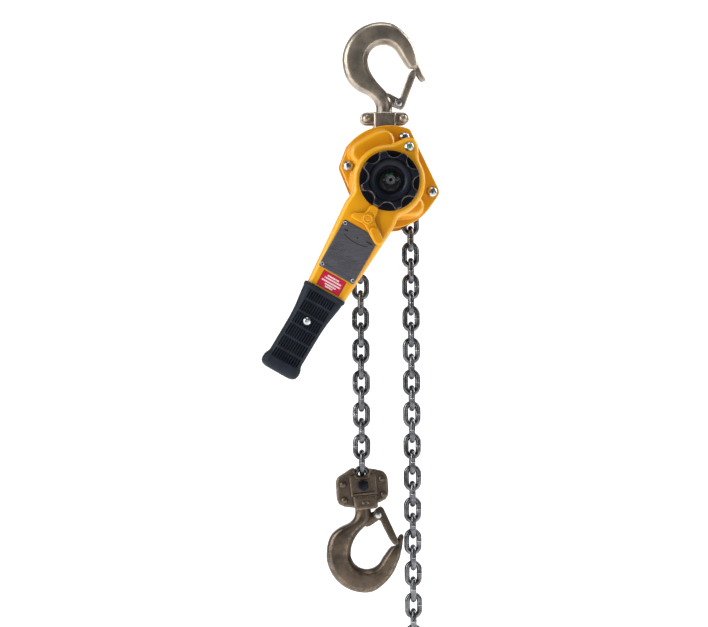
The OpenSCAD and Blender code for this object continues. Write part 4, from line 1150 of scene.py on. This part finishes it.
def chain_metal(name, fleck):
    """Oiled grey steel, dark where links rub, bright along the weld lines."""
    f = Finish(name, metallic=0.92)
    cloud = f.noise(95, 5, 0.62)
    fine = f.noise(900, 4, 0.65)
    weld = f.edge_mask().step(0.45, 0.95)
    tone = f.mix(cloud.step(0.28, 0.72), (0.055, 0.056, 0.060), (0.21, 0.215, 0.23))
    tone = f.mix(fine.step(0.5, 0.75)*0.5, tone, (0.04, 0.039, 0.038))
    tone = f.mix(weld*0.7, tone, (0.80, 0.81, 0.82))
    if fleck:
        spot = (distance(*f.front(45.5, -686)) + f.noise(420, 3, 0.6)*5.0) < 5.2
        tone = f.mix(spot, tone, (0.62, 0.16, 0.025))
    f.use(base_color=tone, roughness=0.14 + 0.12*cloud + 0.06*fine)
    return f.bump(fine*0.5 + cloud*0.5, 0.00016).material


def link_rings(side):
    """A link that lies in the x-y plane round its centre, with its weld on the given side."""
    line = [(side*BOW_R, y) for y in WELD_STATIONS]
    line += [(side*BOW_R*cos(radians(t)), LEG/2 + BOW_R*sin(radians(t))) for t in range(0, 181, 12)]
    line += [(-side*BOW_R, y) for y in (3, 0, -3)]
    line += [(-side*BOW_R*cos(radians(t)), -LEG/2 - BOW_R*sin(radians(t))) for t in range(0, 181, 12)]
    line = np.array(line)
    run = unit(np.roll(line, -1, 0) - np.roll(line, 1, 0))
    a = circle(14)
    rings, weights = [], []
    for p, r in zip(line, run):
        on_weld = p[0]*side > BOW_R - 0.01
        swell = 0.28*exp(-(p[1]/1.7)**2) - 0.22*exp(-(p[1]/0.35)**2) if on_weld else 0
        radius = WIRE_R + swell
        out = np.array([r[1], -r[0]])
        ring = p + np.outer(radius*np.cos(a), out)
        rings.append(np.column_stack([ring, radius*np.sin(a)]))
        weights.append(1 - abs(p[1])/0.9 if on_weld and abs(p[1]) < 0.9 else 0)
    return rings, weights


def fall(name, body, x, first, count, side, fleck=False):
    """Links first to first + count of one fall; they stand for the one CAD node that its body carries."""
    shape = Shape()
    for i in range(first, first + count):
        rings, weights = link_rings(side)
        rings, weights = rings + rings[:1], weights + weights[:1]
        if i % 2:
            rings = [np.column_stack([-r[:, 2], r[:, 1], r[:, 0]*side]) for r in rings]
        sway = 0.25*sin(2.4*i + x)
        rings = [r + (x + (0 if i < TOP_LINKS else sway*0.4), FALL_TOP - i*PITCH, 0) for r in rings]
        shape.rings(rings, weights, capped=False)
    shape.piece(name, body, "chain_steel", chain_metal(name + "_metal", fleck), [body], 60)


fall("load_links_top", "load_chain_top", -FALL_X, 0, TOP_LINKS, -1)
fall("load_links", "load_chain", -FALL_X, TOP_LINKS, LOAD_LINKS, -1)
fall("free_links_top", "free_chain_top", FALL_X, 0, TOP_LINKS, 1)
fall("free_links", "free_chain", FALL_X, TOP_LINKS, FREE_LINKS, 1, fleck=True)

# Bottom block. Two half pressings hold the hook's shank and the last link's bolt. Each has a proud middle
# with a ledge across it, two dimples, a saddle for the chain above, and two lugs with domed rivets on
# either side.

BLOCK_SET = np.array([1.0, -2.0])
BLOCK_RIVETS = np.array([(-26.6, 3.6), (-26.5, -17.3), (24.5, 6.1), (25.2, -14.5)]) + BLOCK_SET
lugs = [(19.9, -24.6), (27.5, -21.5), (31.3, -17.2), (32.4, -12), (33, 5.8), (31.4, 11.5), (27.8, 15.8),
        (18, 19.2), (9.8, 21), (8.6, 16.6), (5, 13.4), (0, 12.2), (-5, 13.4), (-8.6, 17.4), (-9.4, 23.6),
        (-12.8, 23.4), (-21.4, 18.8), (-32.2, 13.2), (-35.3, 7.6), (-36, -15), (-34.4, -21.6), (-28, -25.6),
        (-15.4, -28.4)]
upper = [(-17.6, -14), (17.8, -14), (18, 9.5), (16.5, 13.8), (10.2, 13.2), (7.6, 9.6), (0, 7.8), (-7.6, 9.8),
         (-10.4, 13.8), (-16.8, 15), (-17.8, 10)]
lower = [(-12, -32.4), (13.4, -31.4), (16.4, -29.6), (16.8, -13.2), (-15.6, -12.6), (-14.6, -28.5)]
lug_line, upper_line, lower_line = (even(np.array(line), count, 2) + BLOCK_SET
                                    for line, count in ((lugs, 240), (upper, 160), (lower, 160)))
# The dimples' tops are weighted for the bronze's painted highlight.
dimple = [(2.3, 13.7), (2.1, 14.3), (1.4, 14.9, 1), (0.1, 15.1, 1)]
ridge = [(-15.2, -10.6), (-5, -10.3), (5, -10), (14.8, -9.8)]
lip = [(-9.8, 15), (-8, 11.6), (-4.2, 9.7), (0, 9.2), (4.2, 9.7), (7.8, 11.6), (9.6, 15)]
plates = ((lug_line, 7.6, 2.4), (upper_line, 11.2, 1.8), (lower_line, 14.0, 2.8))
for half, side in (("front", 1), ("rear", -1)):
    shape = half_body(plates, side, 0.7, (25, 50, 70, 90))
    for x in ((-2.6, 3.9) if side > 0 else ()):
        shape.turned(BLOCK_SET + (x, -22.3), dimple, 20)
    for path, z, r in ((ridge, 12.6, 1.2), (lip, 10.2, 1.9)):
        shape.tube([(*(BLOCK_SET + p), side*z) for p in smooth_rows(path, 3)], r, 12)
    shape.moved(at_block).piece("block_half_" + half, "bottom_block", "dark_bronze", DARK_BRONZE,
                                ["block_" + half], 42)
block_rivets = rivets(BLOCK_RIVETS, 4.9, 4.8, 3, 7.4, 36).moved(at_block)
block_rivets.piece("block_rivet_set", "bottom_block", "dark_bronze", DARK_BRONZE, ["block_rivets"], 35)
BLUED = steel("blued_steel", (0.022, 0.026, 0.036), (0.010, 0.012, 0.017), 0.36)
bolt = Shape().turned((0, 0), [(4, -16.4), (4, 11)], 32)
bolt.turned((0, 0), [(7, 10.9), (7, 15.6), (6.6, 16.3, 0.5), (5.4, 16.5), (1, 16.5)], 6, radians(30))
bolt.turned((0, 0), [(5.6, -16.4), (6.6, -15.8), (6.6, -11)], 6, radians(30))
bolt.moved(lambda p: at_block(p + (*BLOCK_SET, 0)))
bolt.piece("block_hex_bolt", "bottom_block", "dark_steel", BLUED, ["block_bolt"], 35)

# Inner parts. The machined and hidden nodes keep their exact shape, with a small broken edge on the
# prismatic ones.

LINING = Finish("brake_lining")
cloud = LINING.noise(260, 5, 0.7)
LINING.use(base_color=LINING.mix(cloud, (0.055, 0.04, 0.03), (0.11, 0.085, 0.065)),
           roughness=0.75 + 0.15*cloud)
FINISHES = {"hook_bronze": HOOK_BRONZE, "dark_bronze": DARK_BRONZE, "dark_steel": DARK_STEEL,
            "machined_steel": MACHINED, "yellow_paint": YELLOW, "zinc_plated": ZINC,
            "chain_steel": chain_metal("chain_metal_plain", False), "brake_lining": LINING.material}
BROKEN_EDGES = ("gear_cover", "front_side_plate", "rear_side_plate")


def bored_shaft():
    """Turned steel whose centre hole in its end is painted shade: a near-black disc with a bump."""
    f = Finish("shaft_steel", metallic=0.9)
    cloud = f.noise(300, 4, 0.6)
    steel_tone = f.mix(cloud.step(0.3, 0.7), (0.10, 0.105, 0.115), (0.19, 0.195, 0.21))
    # Painted shade: near-black inside about 2 mm of the axis, for the hole.
    rim = distance(*f.front(0, DRIVE_Y)).step(2.0, 2.7)
    f.use(base_color=f.mix(rim, (0.004, 0.004, 0.005), steel_tone), roughness=0.38 + 0.14*cloud)
    return f.bump(rim, 0.0006).material


for part in frame["record"]["subparts"]:
    name, slot = part["node"], part["material_slot"]
    node = frame["nodes"][name]
    if node.hide_render or slot not in FINISHES:
        continue
    node.data.materials.clear()
    node.data.materials.append(bored_shaft() if name == "drive_shaft" else FINISHES[slot])
    if name in BROKEN_EDGES:
        rounded = node.modifiers.new("edge", "BEVEL")
        rounded.width, rounded.segments, rounded.angle_limit = 0.0006, 2, radians(50)
        rounded.harden_normals = True
